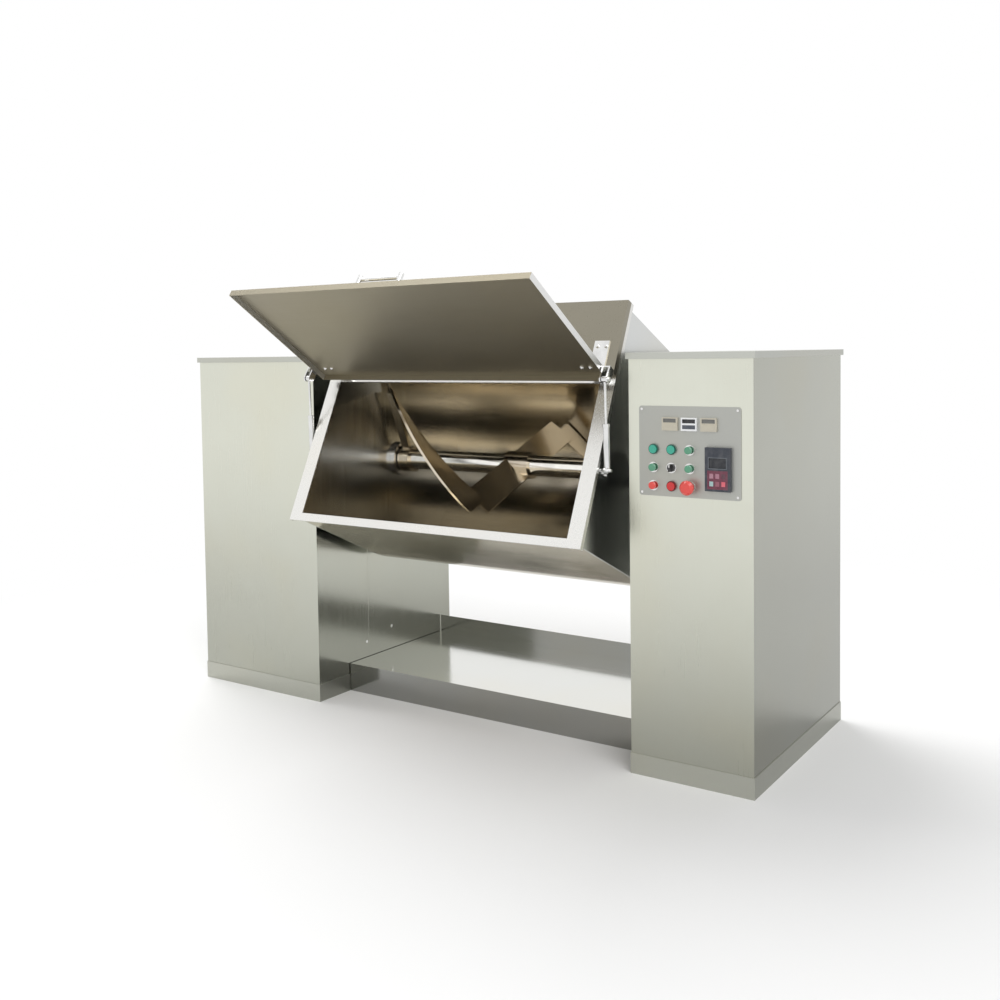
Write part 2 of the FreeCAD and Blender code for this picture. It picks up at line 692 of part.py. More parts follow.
def pulley(label, radius, y, z):
    """Two-groove V pulley keyed on its shaft end, its axis along Y."""
    body = new_body(label)
    face, shaft = size("pulley_face"), size("drive_shaft_radius")
    mouth, depth = size("belt_width") / 2, size("belt_depth")
    slope, play = size("groove_slope"), size("belt_gap")
    under = play + size("groove_clearance")
    rim, root = radius + size("pulley_lip"), radius - depth - under
    wide = mouth + slope * size("pulley_lip") + play
    slim = mouth - slope * (depth + under) + play
    hub, end = shaft + size("pulley_hub"), face + size("pulley_hub_step")
    section = new_sketch(body, "XY")
    corners = [(0, -size("pulley_shaft")), (shaft, -size("pulley_shaft")), (shaft, 0),
               (rim, 0)]
    for sign in (-1, 1):
        groove = face / 2 + sign * size("belt_pitch") / 2
        corners += [(rim, groove - wide), (root, groove - slim), (root, groove + slim),
                    (rim, groove + wide)]
    corners += [(rim, face), (hub, face), (hub, end), (0, end)]
    outline(section, corners)
    revolve(body, section, "V_Axis")
    place(body, at(reducer_middle, y, z))
    return body


def v_belts(y):
    """Two closed belts of trapezoid section round both pulleys."""
    rise = num(worm_height) - SIZES["motor_height"]
    small, large = SIZES["motor_pulley_radius"], SIZES["reducer_pulley_radius"]
    lean = math.asin((large - small) / rise)
    side, up = math.cos(lean), math.sin(lean)

    def touch(radius, height, sign):
        return Vector(sign * radius * side, 0, height - radius * up)

    low = [touch(small, 0, sign) for sign in (-1, 1)]
    high = [touch(large, rise, sign) for sign in (-1, 1)]
    bottom = Part.Arc(low[0], Vector(0, 0, -small), low[1]).toShape()
    crown = Part.Arc(high[1], Vector(0, 0, rise + large), high[0]).toShape()
    path = Part.Wire([bottom, Part.LineSegment(low[1], high[1]).toShape(), crown,
                      Part.LineSegment(high[0], low[0]).toShape()])
    wide, depth = SIZES["belt_width"] / 2, SIZES["belt_depth"]
    slim = wide - SIZES["groove_slope"] * depth
    out = Vector(side, 0, -up)
    pieces = []
    for offset in (-SIZES["belt_pitch"] / 2, SIZES["belt_pitch"] / 2):
        shift = SIZES["pulley_face"] / 2 + offset
        corners = [low[1] + Vector(0, shift + a, 0) + out * b
                   for a, b in ((-wide, 0), (wide, 0), (slim, -depth), (-slim, -depth))]
        profile = Part.makePolygon(corners + corners[:1])
        track = path.copy()
        track.translate(Vector(0, shift, 0))
        sweep = Part.BRepOffsetAPI.MakePipeShell(track)
        sweep.add(profile)
        sweep.build()
        sweep.makeSolid()
        pieces.append(Part.Solid(sweep.shape()) if sweep.shape().ShapeType != "Solid"
                      else sweep.shape())
    item = doc.addObject("Part::Feature", "belts")
    item.Shape = Part.makeCompound(pieces)
    place(item, at(reducer_middle, y, size("motor_height")))
    return node("v_belts", item)


def main_reducer():
    """Worm reducer with a hollow output bore on the agitator shaft."""
    body = new_body("main_reducer")
    radius, length = size("reducer_radius"), size("reducer_bore_length")
    wide = length - 2 * size("reducer_hub_reach")
    worm, drop = size("worm_drop"), size("worm_drop") + size("reducer_below_worm")
    half, sole = size("reducer_foot_width") / 2, size("reducer_foot") - drop
    bore = size("shaft_radius") + size("running_gap")
    section = new_sketch(body, "YZ")
    outline(section, [(-half, -drop), (half, -drop), (half, sole), (radius, sole),
                      (radius, 0, 0, 0, 1), (-radius, 0), (-radius, sole), (-half, sole)])
    ring(section, 0, 0, bore)
    pad(body, section, wide, midplane=True)
    hub = new_sketch(body, "YZ")
    ring(hub, 0, 0, size("reducer_hub_radius"))
    ring(hub, 0, 0, bore)
    doc.recompute()
    pad(body, hub, length, midplane=True)
    doc.recompute()
    snout = new_sketch(body, "XZ", size("snout_sink") - radius)
    ring(snout, 0, -worm, size("snout_radius"))
    pad(body, snout, size("snout_reach") + size("snout_sink"), reverse=True)
    doc.recompute()
    input_ = new_sketch(body, "XZ", -radius - size("snout_reach"))
    ring(input_, 0, -worm, size("drive_shaft_radius") + size("running_gap"))
    pocket(body, input_, size("snout_bore"), reverse=True)
    rib = new_sketch(body, "YZ")
    thin = size("reducer_rib") / 2
    rectangle(rib, -thin, radius - thin, thin, radius + size("reducer_rib_rise"))
    doc.recompute()
    pad(body, rib, wide - 2 * size("reducer_rib_inset"), midplane=True)
    place(body, at(reducer_middle, 0, size("shaft_height")))
    return body


def reducer_stand():
    """Four-legged table over the motor that carries the reducer."""
    top = worm_height - size("reducer_below_worm")
    plate, leg = size("table_plate"), size("table_leg")
    wide, deep = size("table_width"), size("table_depth")
    low_x, low_y = reducer_middle - wide / 2, -deep / 2
    pieces = [box(wide, deep, plate, low_x, low_y, top - plate)]
    for x in (low_x, low_x + wide - leg):
        for y in (low_y, low_y + deep - leg):
            pieces.append(box(leg, leg, top - plate - base_top, x, y, base_top))
    return node("reducer_stand", fuse(*pieces))


def tilt_reducer():
    """Hollow-bore worm reducer on the right trunnion."""
    body = new_body("tilt_reducer")
    wide, radius = size("tilt_reducer_width"), size("tilt_reducer_radius")
    drop, rise = size("bearing_height"), size("tilt_motor_rise")
    crown = rise + size("tilt_reducer_crown")
    bore = size("trunnion_radius") + size("running_gap")
    section = new_sketch(body, "YZ")
    outline(section, [(-radius, -drop), (radius, -drop), (radius, crown), (-radius, crown)])
    ring(section, 0, 0, bore)
    pad(body, section, wide, midplane=True)
    hub = new_sketch(body, "YZ")
    ring(hub, 0, 0, size("tilt_hub_radius"))
    ring(hub, 0, 0, bore)
    doc.recompute()
    pad(body, hub, wide + 2 * size("tilt_hub_reach"), midplane=True)
    doc.recompute()
    flange = new_sketch(body, "XZ", -radius)
    ring(flange, 0, rise, size("tilt_motor_radius") + size("tilt_flange_rise"))
    pad(body, flange, size("tilt_flange"), reverse=True)
    place(body, at(tilt_reducer_middle, 0, size("shaft_height")))
    return body


def tilt_motor():
    """Small flange motor of the tilting drive, its axis along Y."""
    body = new_body("tilt_motor")
    radius, fin = size("tilt_motor_radius"), size("tilt_fin_height")
    length, cowl_long = size("tilt_motor_length"), size("tilt_cowl_length")
    core, cap = radius - fin, size("tilt_motor_cap")
    end = new_sketch(body, "XZ")
    ring(end, 0, 0, core)
    pad(body, end, length, reverse=True)
    fin_plan = new_sketch(body, "XZ", -size("tilt_fin_start"))
    thin = size("fin_thickness") / 2
    rectangle(fin_plan, -thin, core - size("fin_root"), thin, radius)
    doc.recompute()
    fins = pad(body, fin_plan, length - cowl_long - cap - 2 * size("tilt_fin_start"),
               reverse=True)
    doc.recompute()
    polar(body, fins, "Y", SIZES["tilt_fin_count"])
    doc.recompute()
    cowl = new_sketch(body, "XZ", cowl_long + cap - length)
    ring(cowl, 0, 0, radius)
    pad(body, cowl, cowl_long, reverse=True)
    box_plan = new_sketch(body, "XZ", -size("tilt_terminal_start"))
    half = size("tilt_terminal_width") / 2
    rectangle(box_plan, -half, radius - size("tilt_terminal_sink"), half,
              radius + size("tilt_terminal_reach"))
    doc.recompute()
    pad(body, box_plan, size("tilt_terminal_depth"), reverse=True)
    y = size("tilt_reducer_radius") + size("tilt_flange")
    place(body, at(tilt_reducer_middle, y, size("shaft_height") + size("tilt_motor_rise")))
    return body


# ------------------------------------------------------------------ trough


def u_shape(item, radius, top):
    """U outline: a half-round bottom about the shaft and straight sides up to top."""
    outline(item, [(-radius, 0, 0, 0, 1), (radius, 0), (radius, top), (-radius, top)])


def trough_shell():
    """Rolled trough sheet between the end plates."""
    body = new_body("trough_shell")
    inner, outer = size("trough_radius"), shell_radius
    top = rim_under
    section = new_sketch(body, "YZ", inside_left)
    outline(section, [(-outer, 0, 0, 0, 1), (outer, 0), (outer, top), (inner, top),
                      (inner, 0, 0, 0, -1), (-inner, 0), (-inner, top), (-outer, top)])
    pad(body, section, inside_right - inside_left)
    place(body, trough_frame())
    return body


def end_plate(side):
    """End plate, U-shaped like the trough, with a hole for the agitator shaft."""
    body = new_body(side + "_end_plate")
    low = end_left if side == "left" else inside_right
    section = new_sketch(body, "YZ", low)
    u_shape(section, shell_radius, rim_under)
    ring(section, 0, 0, size("shaft_radius") + size("plate_hole_gap"))
    pad(body, section, size("end_plate"))
    place(body, trough_frame())
    return body


def rim_frame():
    """Flat rim round the top with a bar between mouth and rear cover, its outer edge turned
    down at the ends."""
    body = new_body("rim_frame")
    top, plate = size("rim_height"), size("rim_plate")
    side, edge = size("rim_side_band"), size("rim_edge_band")
    plan = new_sketch(body, "XY", top - plate)
    rectangle(plan, rim_left, -rim_half, rim_right, rim_half)
    low, high = rim_left + side, rim_right - side
    rectangle(plan, low, edge - rim_half, high, size("mouth_top"))
    rectangle(plan, low, size("mouth_top") + size("rim_bar"), high, rim_half - edge)
    pad(body, plan, plate)
    doc.recompute()
    lips = new_sketch(body, "XY", top - size("rim_turndown"))
    skin = size("rim_turndown_sheet")
    rectangle(lips, rim_left, -rim_half, rim_left + skin, rim_half)
    rectangle(lips, rim_right - skin, -rim_half, rim_right, rim_half)
    pad(body, lips, size("rim_turndown"))
    place(body, trough_frame())
    return body


def pan(body, x0, y0, x1, y1, top, depth, skin):
    """A sheet pan with lips folded down on all four sides."""
    plan = new_sketch(body, "XY", top - depth)
    rectangle(plan, x0, y0, x1, y1)
    pad(body, plan, depth)
    hollow = new_sketch(body, "XY", top - skin)
    rectangle(hollow, x0 + skin, y0 + skin, x1 - skin, y1 - skin)
    pocket(body, hollow, depth - skin)


def rear_cover():
    """Fixed cover over the rear third of the trough."""
    body = new_body("rear_cover")
    top = size("rim_height") + size("pan_depth")
    pan(body, rim_left, size("hinge_offset") + size("knuckle_gap"), rim_right, rim_half,
        top, size("pan_depth"), size("pan_sheet"))
    place(body, trough_frame())
    return body


def hinge_places():
    """Middle X of both lid hinges."""
    return (rim_left + size("hinge_inset"), rim_right - size("hinge_inset"))


def hinge_straps():
    """Fixed hinge halves: strap and two outer knuckles each, with the pins as solids."""
    pieces = []
    long, play, gap = size("hinge_knuckle"), size("knuckle_play"), size("knuckle_gap")
    sheet_, radius = size("strap_sheet"), size("knuckle_radius")
    end = size("hinge_pin_end")
    y, z = size("hinge_offset"), hinge_height
    cover_top = size("rim_height") + size("pan_depth")
    for middle in hinge_places():
        start = middle - 1.5 * long
        parts = [box(3 * long, size("hinge_strap_length") - gap, sheet_, start, y + gap,
                     cover_top, trough_frame())]
        for x in (start, start + 2 * long + play):
            parts.append(box(long - play, gap + sheet_, sheet_, x, y, cover_top,
                             trough_frame()))
            parts.append(bar(radius, long - play, x, y, z, "X", trough_frame()))
        pin_hole = bar(size("hinge_pin_radius"), 3 * long + 2 * end, start - end, y, z, "X",
                       trough_frame())
        pieces.append(cut(fuse(*parts), pin_hole))
        pieces.append(bar(size("hinge_pin_radius"), 3 * long + 2 * end, start - end, y, z,
                          "X", trough_frame()))
    return node("hinge_straps", group(*pieces))


def cover_bolts():
    """Bolt heads that hold the hinge straps on the rear cover."""
    heads = []
    spread = size("hinge_bolt_spread")
    z = size("rim_height") + size("pan_depth") + size("strap_sheet")
    for middle in hinge_places():
        for x in (middle - spread, middle + spread):
            heads.append(bar(size("bolt_radius"), size("bolt_head"), x,
                             size("hinge_offset") + size("cover_bolt_back"), z, "Z",
                             trough_frame()))
    return node("cover_bolts", group(*heads))


def trunnion(side):
    """Hollow trunnion with a welded flange, turning in its pillow block."""
    body = new_body(side + "_trunnion")
    radius, bore = size("trunnion_radius"), size("trunnion_bore")
    flange, thick = size("trunnion_flange_radius"), size("trunnion_flange")
    fillet = size("trunnion_fillet")
    if side == "left":
        face, sign = end_left, -1
        reach = end_left - left_bearing + size("bearing_width") / 2 + size("trunnion_end")
    else:
        face, sign = end_right, 1
        reach = (tilt_reducer_middle + size("tilt_reducer_width") / 2
                 + size("tilt_drive_end") - end_right)
    section = new_sketch(body, "XY")
    outline(section, [(face, bore), (face + sign * reach, bore),
                      (face + sign * reach, radius), (face + sign * (thick + fillet), radius),
                      (face + sign * thick, radius + fillet), (face + sign * thick, flange),
                      (face, flange)])
    revolve(body, section, "H_Axis")
    place(body, trough_frame())
    return body


def shaft_seals():
    """Packing glands on the inner faces of the end plates."""
    pieces = []
    bore = size("shaft_radius") + size("seal_gap")
    for x, sign in ((inside_left, 1), (inside_right, -1)):
        long = size("seal_length")
        low = x if sign > 0 else x - long
        ring_ = bar(size("seal_radius"), long, low, 0, 0, "X", trough_frame())
        hole = bar(bore, long + 2, low - 1, 0, 0, "X", trough_frame())
        pieces.append(cut(ring_, hole))
    return node("shaft_seals", group(*pieces))


def shaft_bushes():
    """Bronze bushes that carry the agitator shaft inside both trunnions."""
    pieces = []
    long = size("bush_length")
    for low in (left_bearing - long / 2, right_bearing - long / 2):
        outer = bar(size("trunnion_bore"), long, low, 0, 0, "X", trough_frame())
        hole = bar(size("shaft_radius") + size("running_gap"), long + 2, low - 1, 0, 0, "X",
                   trough_frame())
        pieces.append(cut(outer, hole))
    return node("shaft_bushes", group(*pieces))


stud_y = -size("stud_back")
stud_z = size("rim_height") - size("stud_below_rim")


def stay_side(side):
    """Middle X of one stay, and the way out from the trough."""
    if side == "left":
        return rim_left - size("stay_offset"), -1
    return rim_right + size("stay_offset"), 1


def stay_studs():
    """Bolted brackets with the lower pins of the stays."""
    pieces = []
    thick, wide = size("stud_plate"), size("stud_plate_width")
    above, below = size("stud_plate_above"), size("stud_plate_below")
    head = size("bolt_head")
    reach = size("rim_side_overhang") + size("stay_offset") + size("stay_eye_width")
    for side, sign in SIDES:
        middle, out = stay_side(side)
        face = end_left if side == "left" else end_right
        plate = box(thick, wide, above + below, face if out > 0 else face - thick,
                    stud_y - wide / 2, stud_z - below, trough_frame())
        pin = bar(size("stay_pin_radius"), reach, face if out > 0 else face - reach, stud_y,
                  stud_z, "X", trough_frame())
        pieces.append(fuse(plate, pin))
        for step in (1, 2):
            x = face + thick if out > 0 else face - thick - head
            pieces.append(bar(size("bolt_radius"), head, x, stud_y,
                              stud_z - step * size("stud_bolt_pitch"), "X",
                              trough_frame()))
    return node("stay_studs", group(*pieces))


# ------------------------------------------------------------------ lid and stays


def lid_panel():
    """Lid pan over the mouth, drawn closed about its hinge pin and swung open."""
    body = new_body("lid_panel")
    inset = size("lid_side_inset")
    top = -size("hinge_rise")
    pan(body, rim_left + inset, -size("lid_length"), rim_right - inset, -size("knuckle_gap"),
        top, size("pan_depth") - size("lid_seat_gap"), size("pan_sheet"))
    place(body, hinge_frame())
    return body


def lid_hinge_leaves():
    """Moving hinge halves: a strap on the lid and the middle knuckle."""
    pieces = []
    long, play, gap = size("hinge_knuckle"), size("knuckle_play"), size("knuckle_gap")
    sheet_, radius = size("strap_sheet"), size("knuckle_radius")
    spread, top = size("hinge_bolt_spread"), -size("hinge_rise")
    hole_radius = size("hinge_pin_radius") + size("running_gap")
    frame = hinge_frame()
    for middle in hinge_places():
        low = middle - long / 2 + play
        strap = box(3 * long, size("lid_strap_length"), sheet_, middle - 1.5 * long,
                    -gap - size("lid_strap_length"), top, frame)
        tongue = box(long - 2 * play, gap + sheet_, sheet_, low, -gap - sheet_, top, frame)
        eye = bar(radius, long - 2 * play, low, 0, 0, "X", frame)
        hole = bar(hole_radius, long, middle - long / 2, 0, 0, "X", frame)
        pieces.append(cut(fuse(strap, tongue, eye), hole))
        for x in (middle - spread, middle + spread):
            pieces.append(bar(size("bolt_radius"), size("bolt_head"), x,
                              -gap - size("lid_bolt_back"), top + sheet_, "Z", frame))
    return node("lid_hinge_leaves", group(*pieces))


def lid_handle():
    """Grip bar between two footed posts, near the lid's free edge."""
    frame = " * ".join((hinge_frame(), at((rim_left + rim_right) / 2,
                                          size("handle_setback") - size("lid_length"),
                                          -size("hinge_rise"))))
    half = size("handle_span") / 2
    pieces = [bar(size("handle_grip_radius"), size("handle_span"), -half, 0,
                  size("handle_grip_height"), "X", frame)]
    for x in (-half, half):
        pieces.append(bar(size("handle_post_radius"), size("handle_post_height"), x, 0, 0,
                          "Z", frame))
        pieces.append(bar(size("handle_foot_radius"), size("handle_foot"), x, 0, 0, "Z",
                          frame))
    return node("lid_handle", fuse(*pieces))


knee_y = -size("knee_reach")
knee_z = -size("knee_drop")


def lid_cranks():
    """Two-cheek cranks on the lid's side lips that carry the upper ends of the stays."""
    cranks = []
    sheet_, head = size("crank_sheet"), size("crank_head_radius")
    roof = -size("hinge_rise") - size("crank_roof_drop")
    half = size("stay_eye_width") / 2 + size("crank_play")
    rivet = size("knee_rivet_head")
    frame = hinge_frame()
    for side, sign in SIDES:
        middle, out = stay_side(side)
        lip = (rim_left + size("lid_side_inset") if side == "left"
               else rim_right - size("lid_side_inset"))
        pieces = []
        for low in (middle - half - sheet_, middle + half):
            pieces.append(box(sheet_, 2 * head, roof - knee_z, low, knee_y - head, knee_z,
                              frame))
            pieces.append(bar(head, sheet_, low, knee_y, knee_z, "X", frame))
        outer = middle + out * (half + sheet_)
        pieces.append(bar(size("knee_rivet_radius"), rivet,
                          outer if out > 0 else outer - rivet, knee_y, knee_z, "X", frame))
        low, high = (lip, outer) if out > 0 else (outer, lip)
        pieces.append(box(high - low, 2 * head, sheet_, low, knee_y - head, roof, frame))
        cranks.append(fuse(*pieces))
    return node("lid_cranks", group(*cranks))


# The closed-lid knee, swung open, as trough coordinates, and from there the stay.
swing = -size("lid_open_angle")
open_knee_y = size("hinge_offset") + knee_y * cosd(swing) - knee_z * sind(swing)
open_knee_z = hinge_height + knee_y * sind(swing) + knee_z * cosd(swing)
stay_length = hypot(open_knee_y - stud_y, open_knee_z - stud_z)
stay_angle = atan2d(open_knee_z - stud_z, open_knee_y - stud_y)


def stay_frame(x):
    """Coordinates about the lower pin, with +Y along the stay."""
    y = stud_y * cosd(tilt) - stud_z * sind(tilt)
    z = size("shaft_height") + stud_y * sind(tilt) + stud_z * cosd(tilt)
    return turn(x, y, z, X_AXIS, tilt + stay_angle)


def stay_tubes():
    """Lower, thicker members of both lid stays, each with its pin eye."""
    pieces = []
    wide, long = size("stay_eye_width"), size("stay_tube_length")
    radius, cap = size("stay_tube_radius"), size("stay_cap_length")
    eye_radius = radius + size("stay_cap_rise")
    start = eye_radius + size("stay_bottom")
    for side, sign in SIDES:
        middle, out = stay_side(side)
        frame = stay_frame(middle)
        eye = bar(eye_radius, wide, -wide / 2, 0, 0, "X", frame)
        tube = bar(radius, long, 0, 0, 0, "Y", frame)
        collar = bar(eye_radius, cap, 0, long - cap, 0, "Y", frame)
        hole = bar(size("stay_pin_radius") + size("running_gap"), 4 * radius, -2 * radius, 0,
                   0, "X", frame)
        gland = bar(size("stay_rod_radius") + size("running_gap"), long - start, 0, start, 0,
                    "Y", frame)
        pieces.append(cut(fuse(eye, tube, collar), hole, gland))
    return node("stay_tubes", group(*pieces))


def stay_rods():
    """Thin rods that slide in the stay tubes, each with an eye at the lid crank."""
    pieces = []
    wide = size("stay_eye_width")
    for side, sign in SIDES:
        middle, out = stay_side(side)
        frame = stay_frame(middle)
        start = size("stay_tube_length") - size("stay_rod_inside")
        rod = bar(size("stay_rod_radius"), stay_length - start, 0, start, 0, "Y", frame)
        eye = bar(size("stay_eye_radius"), wide, -wide / 2, stay_length, 0, "X", frame)
        hole = bar(size("knee_pin_radius"), 2 * wide, -wide, stay_length, 0, "X", frame)
        pieces.append(cut(fuse(rod, eye), hole))
    return node("stay_rods", group(*pieces))


# ------------------------------------------------------------------ agitator

agitator_middle = trough_middle
ribbon_start = inside_left + size("ribbon_end_gap")
ribbon_end = inside_right - size("ribbon_end_gap")
ribbon_run = agitator_middle - ribbon_start
ribbon_lead = 360 * ribbon_run / size("ribbon_sweep")
# The bar lies along the flight where they meet, and each flight laps one face of it.
arm_twist = atan2d(size("ribbon_inner") + size("arm_root") / 2, ribbon_lead / (2 * math.pi))
ribbon_lap = (size("arm_thickness") / 2 - size("arm_bite")) / sind(arm_twist)


def agitator_frame(x=0):
    return turn(x, 0, size("shaft_height"), X_AXIS, tilt)


def agitator_shaft():
    """Through shaft: keyed in the main reducer and ending in the right-hand bush."""
    low = reducer_middle - size("reducer_bore_length") / 2 - size("shaft_left_end")
    high = right_bearing + size("bush_length") / 2 + size("shaft_right_end")
    body = new_body("agitator_shaft")
    radius = size("shaft_radius")
    section = new_sketch(body, "XY")
    edge = size("shaft_chamfer")
    outline(section, [(low, 0), (high, 0), (high, radius - edge), (high - edge, radius),
                      (low + edge, radius), (low, radius - edge)])
    revolve(body, section, "H_Axis")
    place(body, agitator_frame())
    return body


def helix(radius, left_handed):
    item = doc.addObject("Part::Helix", "edge")
    bind(item, "Pitch", ribbon_lead)
    bind(item, "Height", ribbon_run)
    bind(item, "Radius", radius)
    item.LocalCoord = 1 if left_handed else 0
    return item


def ribbon(side):
    """Helical ribbon flight: the surface between two helices, thickened along the shaft."""
    left_handed = side == "right"
    face = doc.addObject("Part::RuledSurface", "flight")
    face.Curve1 = (helix(size("ribbon_inner"), left_handed), ["Edge1"])
    face.Curve2 = (helix(size("ribbon_outer"), left_handed), ["Edge1"])
    doc.recompute()
    item = doc.addObject("Part::Extrusion", side + "_ribbon")
    item.Base = face
    item.DirMode = "Custom"
    item.Dir = Vector(0, 0, 1)
    bind(item, "LengthFwd", size("ribbon_thickness"))
    item.Solid = True
    cyclic = turn(0, 0, 0, (1, 1, 1), 120)
    thick = size("ribbon_thickness")
    if side == "left":
        start, angle = ribbon_start + ribbon_lap, size("arm_angle") - size("ribbon_sweep")
    else:
        start, angle = agitator_middle - ribbon_lap - thick, size("arm_angle") + 180
    place(item, agitator_frame(start), turn(0, 0, 0, X_AXIS, angle), cyclic)
    return node(side + "_ribbon", item)


def arm(middle, angle, width, twist, boss, low, reach, flights):
    """Flat bar on a boss of the shaft, from low to reach, notched where it meets the
    flights."""
    thick = size("arm_thickness")
    frame = " * ".join((agitator_frame(middle), turn(0, 0, 0, X_AXIS, angle),
                        turn(0, 0, 0, Y_AXIS, twist)))
    blade = box(width, reach - low, thick, -width / 2, low, -thick / 2, frame)
    hub = bar(size("arm_boss_radius"), boss, middle - boss / 2, 0, 0, "X", agitator_frame())
    bore = bar(size("shaft_radius"), boss + width, middle - boss / 2 - width / 2, 0, 0, "X",
               agitator_frame())
    return cut(fuse(blade, hub), bore, *flights)


def centre_arm(flights):
    """Middle arm, which carries the inner ends of both ribbons."""
    reach = size("ribbon_inner") + size("arm_root")
    item = arm(agitator_middle, size("arm_angle"), size("arm_width"), -arm_twist,
               size("arm_boss_length"), -reach, reach, flights)
    return node("centre_arm", item)


def end_arms(flights):
    """Arms beside the end plates, each butted against the inner edge of a ribbon."""
    pieces = []
    boss = size("end_boss_length")
    clear = size("seal_length") + size("boss_gap") + boss / 2
    reach = size("ribbon_inner") + size("arm_tip_bite")
    turned = ((clear - size("ribbon_end_gap") - ribbon_lap - size("ribbon_thickness") / 2)
              * size("ribbon_sweep") / ribbon_run)
    near_angle = size("arm_angle") - size("ribbon_sweep") + turned
    for middle, angle, flight in ((inside_left + clear, near_angle, flights[0]),
                                  (inside_right - clear, near_angle + 180, flights[1])):
        pieces.append(arm(middle, angle, size("end_arm_width"), 0, boss,
                          size("shaft_radius"), reach, [flight]))
    return node("end_arms", group(*pieces))


# ------------------------------------------------------------------ control panel


def control_panel():
    """Rounded instrument plate with holes for the buttons."""
    body = new_body("control_panel")
    half, tall = size("panel_width") / 2, size("panel_height") / 2
    corner = size("panel_corner")
    plan = new_sketch(body, "XZ")
    outline(plan, [(corner - half, -tall), (half - corner, -tall, half - corner,
                   corner - tall, 1), (half, corner - tall), (half, tall - corner,
                   half - corner, tall - corner, 1), (half - corner, tall),
                   (corner - half, tall, corner - half, tall - corner, 1),
                   (-half, tall - corner), (-half, corner - tall, corner - half,
                   corner - tall, 1)])
    for kind, x, z in control_places():
        ring(plan, x, z, size("bezel_hole"))
    pad(body, plan, size("panel_sheet"))
    place(body, at(panel_middle, panel_front + size("panel_sheet"),
                   panel_height_middle))
    return body


CONTROLS = (("green_lamp", "green_lamp", "green_button"),
            ("green_button", "selector_knob", "green_button"),
            ("red_button", "red_lamp", "stop_mushroom"))


def control_places():
    """Kind, column and row place of each control, about the middle of the panel."""
    places = []
    for row, kinds in enumerate(CONTROLS):
        for column, kind in enumerate(kinds):
            x = size("first_column") + size("column_pitch") * column
            z = size("first_row") - size("row_pitch") * row
            places.append((kind, x, z))
    return places


def panel_at(x, z, out=0):
    """A place on the panel's front face, out in front of it."""
    return at(panel_middle + x, panel_front - out, panel_height_middle + z)


def panel_screws():
    inset, head = size("panel_screw_inset"), size("panel_screw_head")
    half, tall = size("panel_width") / 2 - inset, size("panel_height") / 2 - inset
    heads = []
    for x in (-half, half):
        for z in (-tall, tall):
            heads.append(bar(size("panel_screw_radius"), head, 0, 0, 0, "Y",
                             panel_at(x, z, head)))
    return node("panel_screws", group(*heads))


neck_radius = size("bezel_hole") - size("bezel_hole_gap")


def panel_bezels():
    """Metal bezel and threaded neck of each moving control, with its bore."""
    pieces = []
    high, neck = size("bezel_height"), size("bezel_neck")
    for kind, x, z in control_places():
        if kind.endswith("lamp"):
            continue
        frame = panel_at(x, z)
        front = bar(size("bezel_radius"), high, 0, -high, 0, "Y", frame)
        barrel = bar(neck_radius, high + neck, 0, -high, 0, "Y", frame)
        bore = bar(size("button_stem") + size("running_gap"), high + neck, 0, -high, 0, "Y",
                   frame)
        pieces.append(cut(fuse(front, barrel), bore))
    return node("panel_bezels", group(*pieces))


def lamps(kind):
    """Pilot lamps of one colour, each with a rimmed lens and a neck through the panel."""
    pieces = []
    rim, high = size("lamp_rim"), size("lamp_height")
    radius, edge = size("bezel_radius"), size("lamp_edge")
    for place_kind, x, z in control_places():
        if place_kind != kind:
            continue
        frame = panel_at(x, z)
        pieces.append(fuse(bar(radius, rim, 0, -rim, 0, "Y", frame),
                           bar(radius - edge, high, 0, -high, 0, "Y", frame),
                           bar(neck_radius, high + size("bezel_neck"), 0, -high, 0, "Y",
                               frame)))
    return node(kind + ("s" if len(pieces) > 1 else ""), group(*pieces))


def moving_control(label, kind, x, z):
    """Cap and stem of one control, drawn at rest in front of its bezel."""
    body = new_body(label)
    stem, back = size("button_stem"), size("button_back")
    radius = size("button_radius")
    rest = -size("bezel_height") - size("button_travel") - size("button_clearance")
    section = new_sketch(body, "XY")
    if kind == "stop_mushroom":
        radius, brim = size("estop_radius"), rest - size("estop_skirt")
        crown = rest - size("estop_height")
        corners = [(size("estop_neck_radius"), rest), (radius, brim),
                   (radius, brim - size("estop_brim")), (radius - size("estop_crown"), crown),
                   (0, crown)]
    elif kind == "selector_knob":
        rest = -size("bezel_height") - size("selector_gap")
        crown = rest - size("selector_plate")
        corners = [(radius, rest), (radius, crown), (0, crown)]
    else:
        edge, crown = size("button_edge"), rest - size("button_height")
        corners = [(radius, rest), (radius, crown + edge), (radius - edge, crown),
                   (0, crown)]
    outline(section, [(0, back), (stem, back), (stem, rest)] + corners)
    revolve(body, section, "V_Axis")
    if kind == "selector_knob":
        doc.recompute()
        lever = new_sketch(body, "XZ", -rest)
        half, long = size("selector_lever") / 2, radius - size("selector_lever_inset")
        rectangle(lever, -half, -long, half, long)
        pad(body, lever, size("selector_plate") + size("selector_lever_rise"))
    place(body, panel_at(x, z))


def moving_controls():
    """Push buttons, selector and stop mushroom, each a node of its own."""
    kinds = [kind for kind, x, z in control_places()]
    counts = {}
    for kind, x, z in control_places():
        if kind.endswith("lamp"):
            continue
        counts[kind] = counts.get(kind, 0) + 1
        label = "%s_%d" % (kind, counts[kind]) if kinds.count(kind) > 1 else kind
        moving_control(label, kind, x, z)


def contact_blocks():
    """Contact blocks clipped on the necks of the controls, behind the panel."""
    wide, high = size("block_width"), size("block_height")
    blocks = [box(wide, size("block_depth"), high, -wide / 2, size("bezel_neck"), -high / 2,
                  panel_at(x, z)) for kind, x, z in control_places()]
    return node("contact_blocks", group(*blocks))


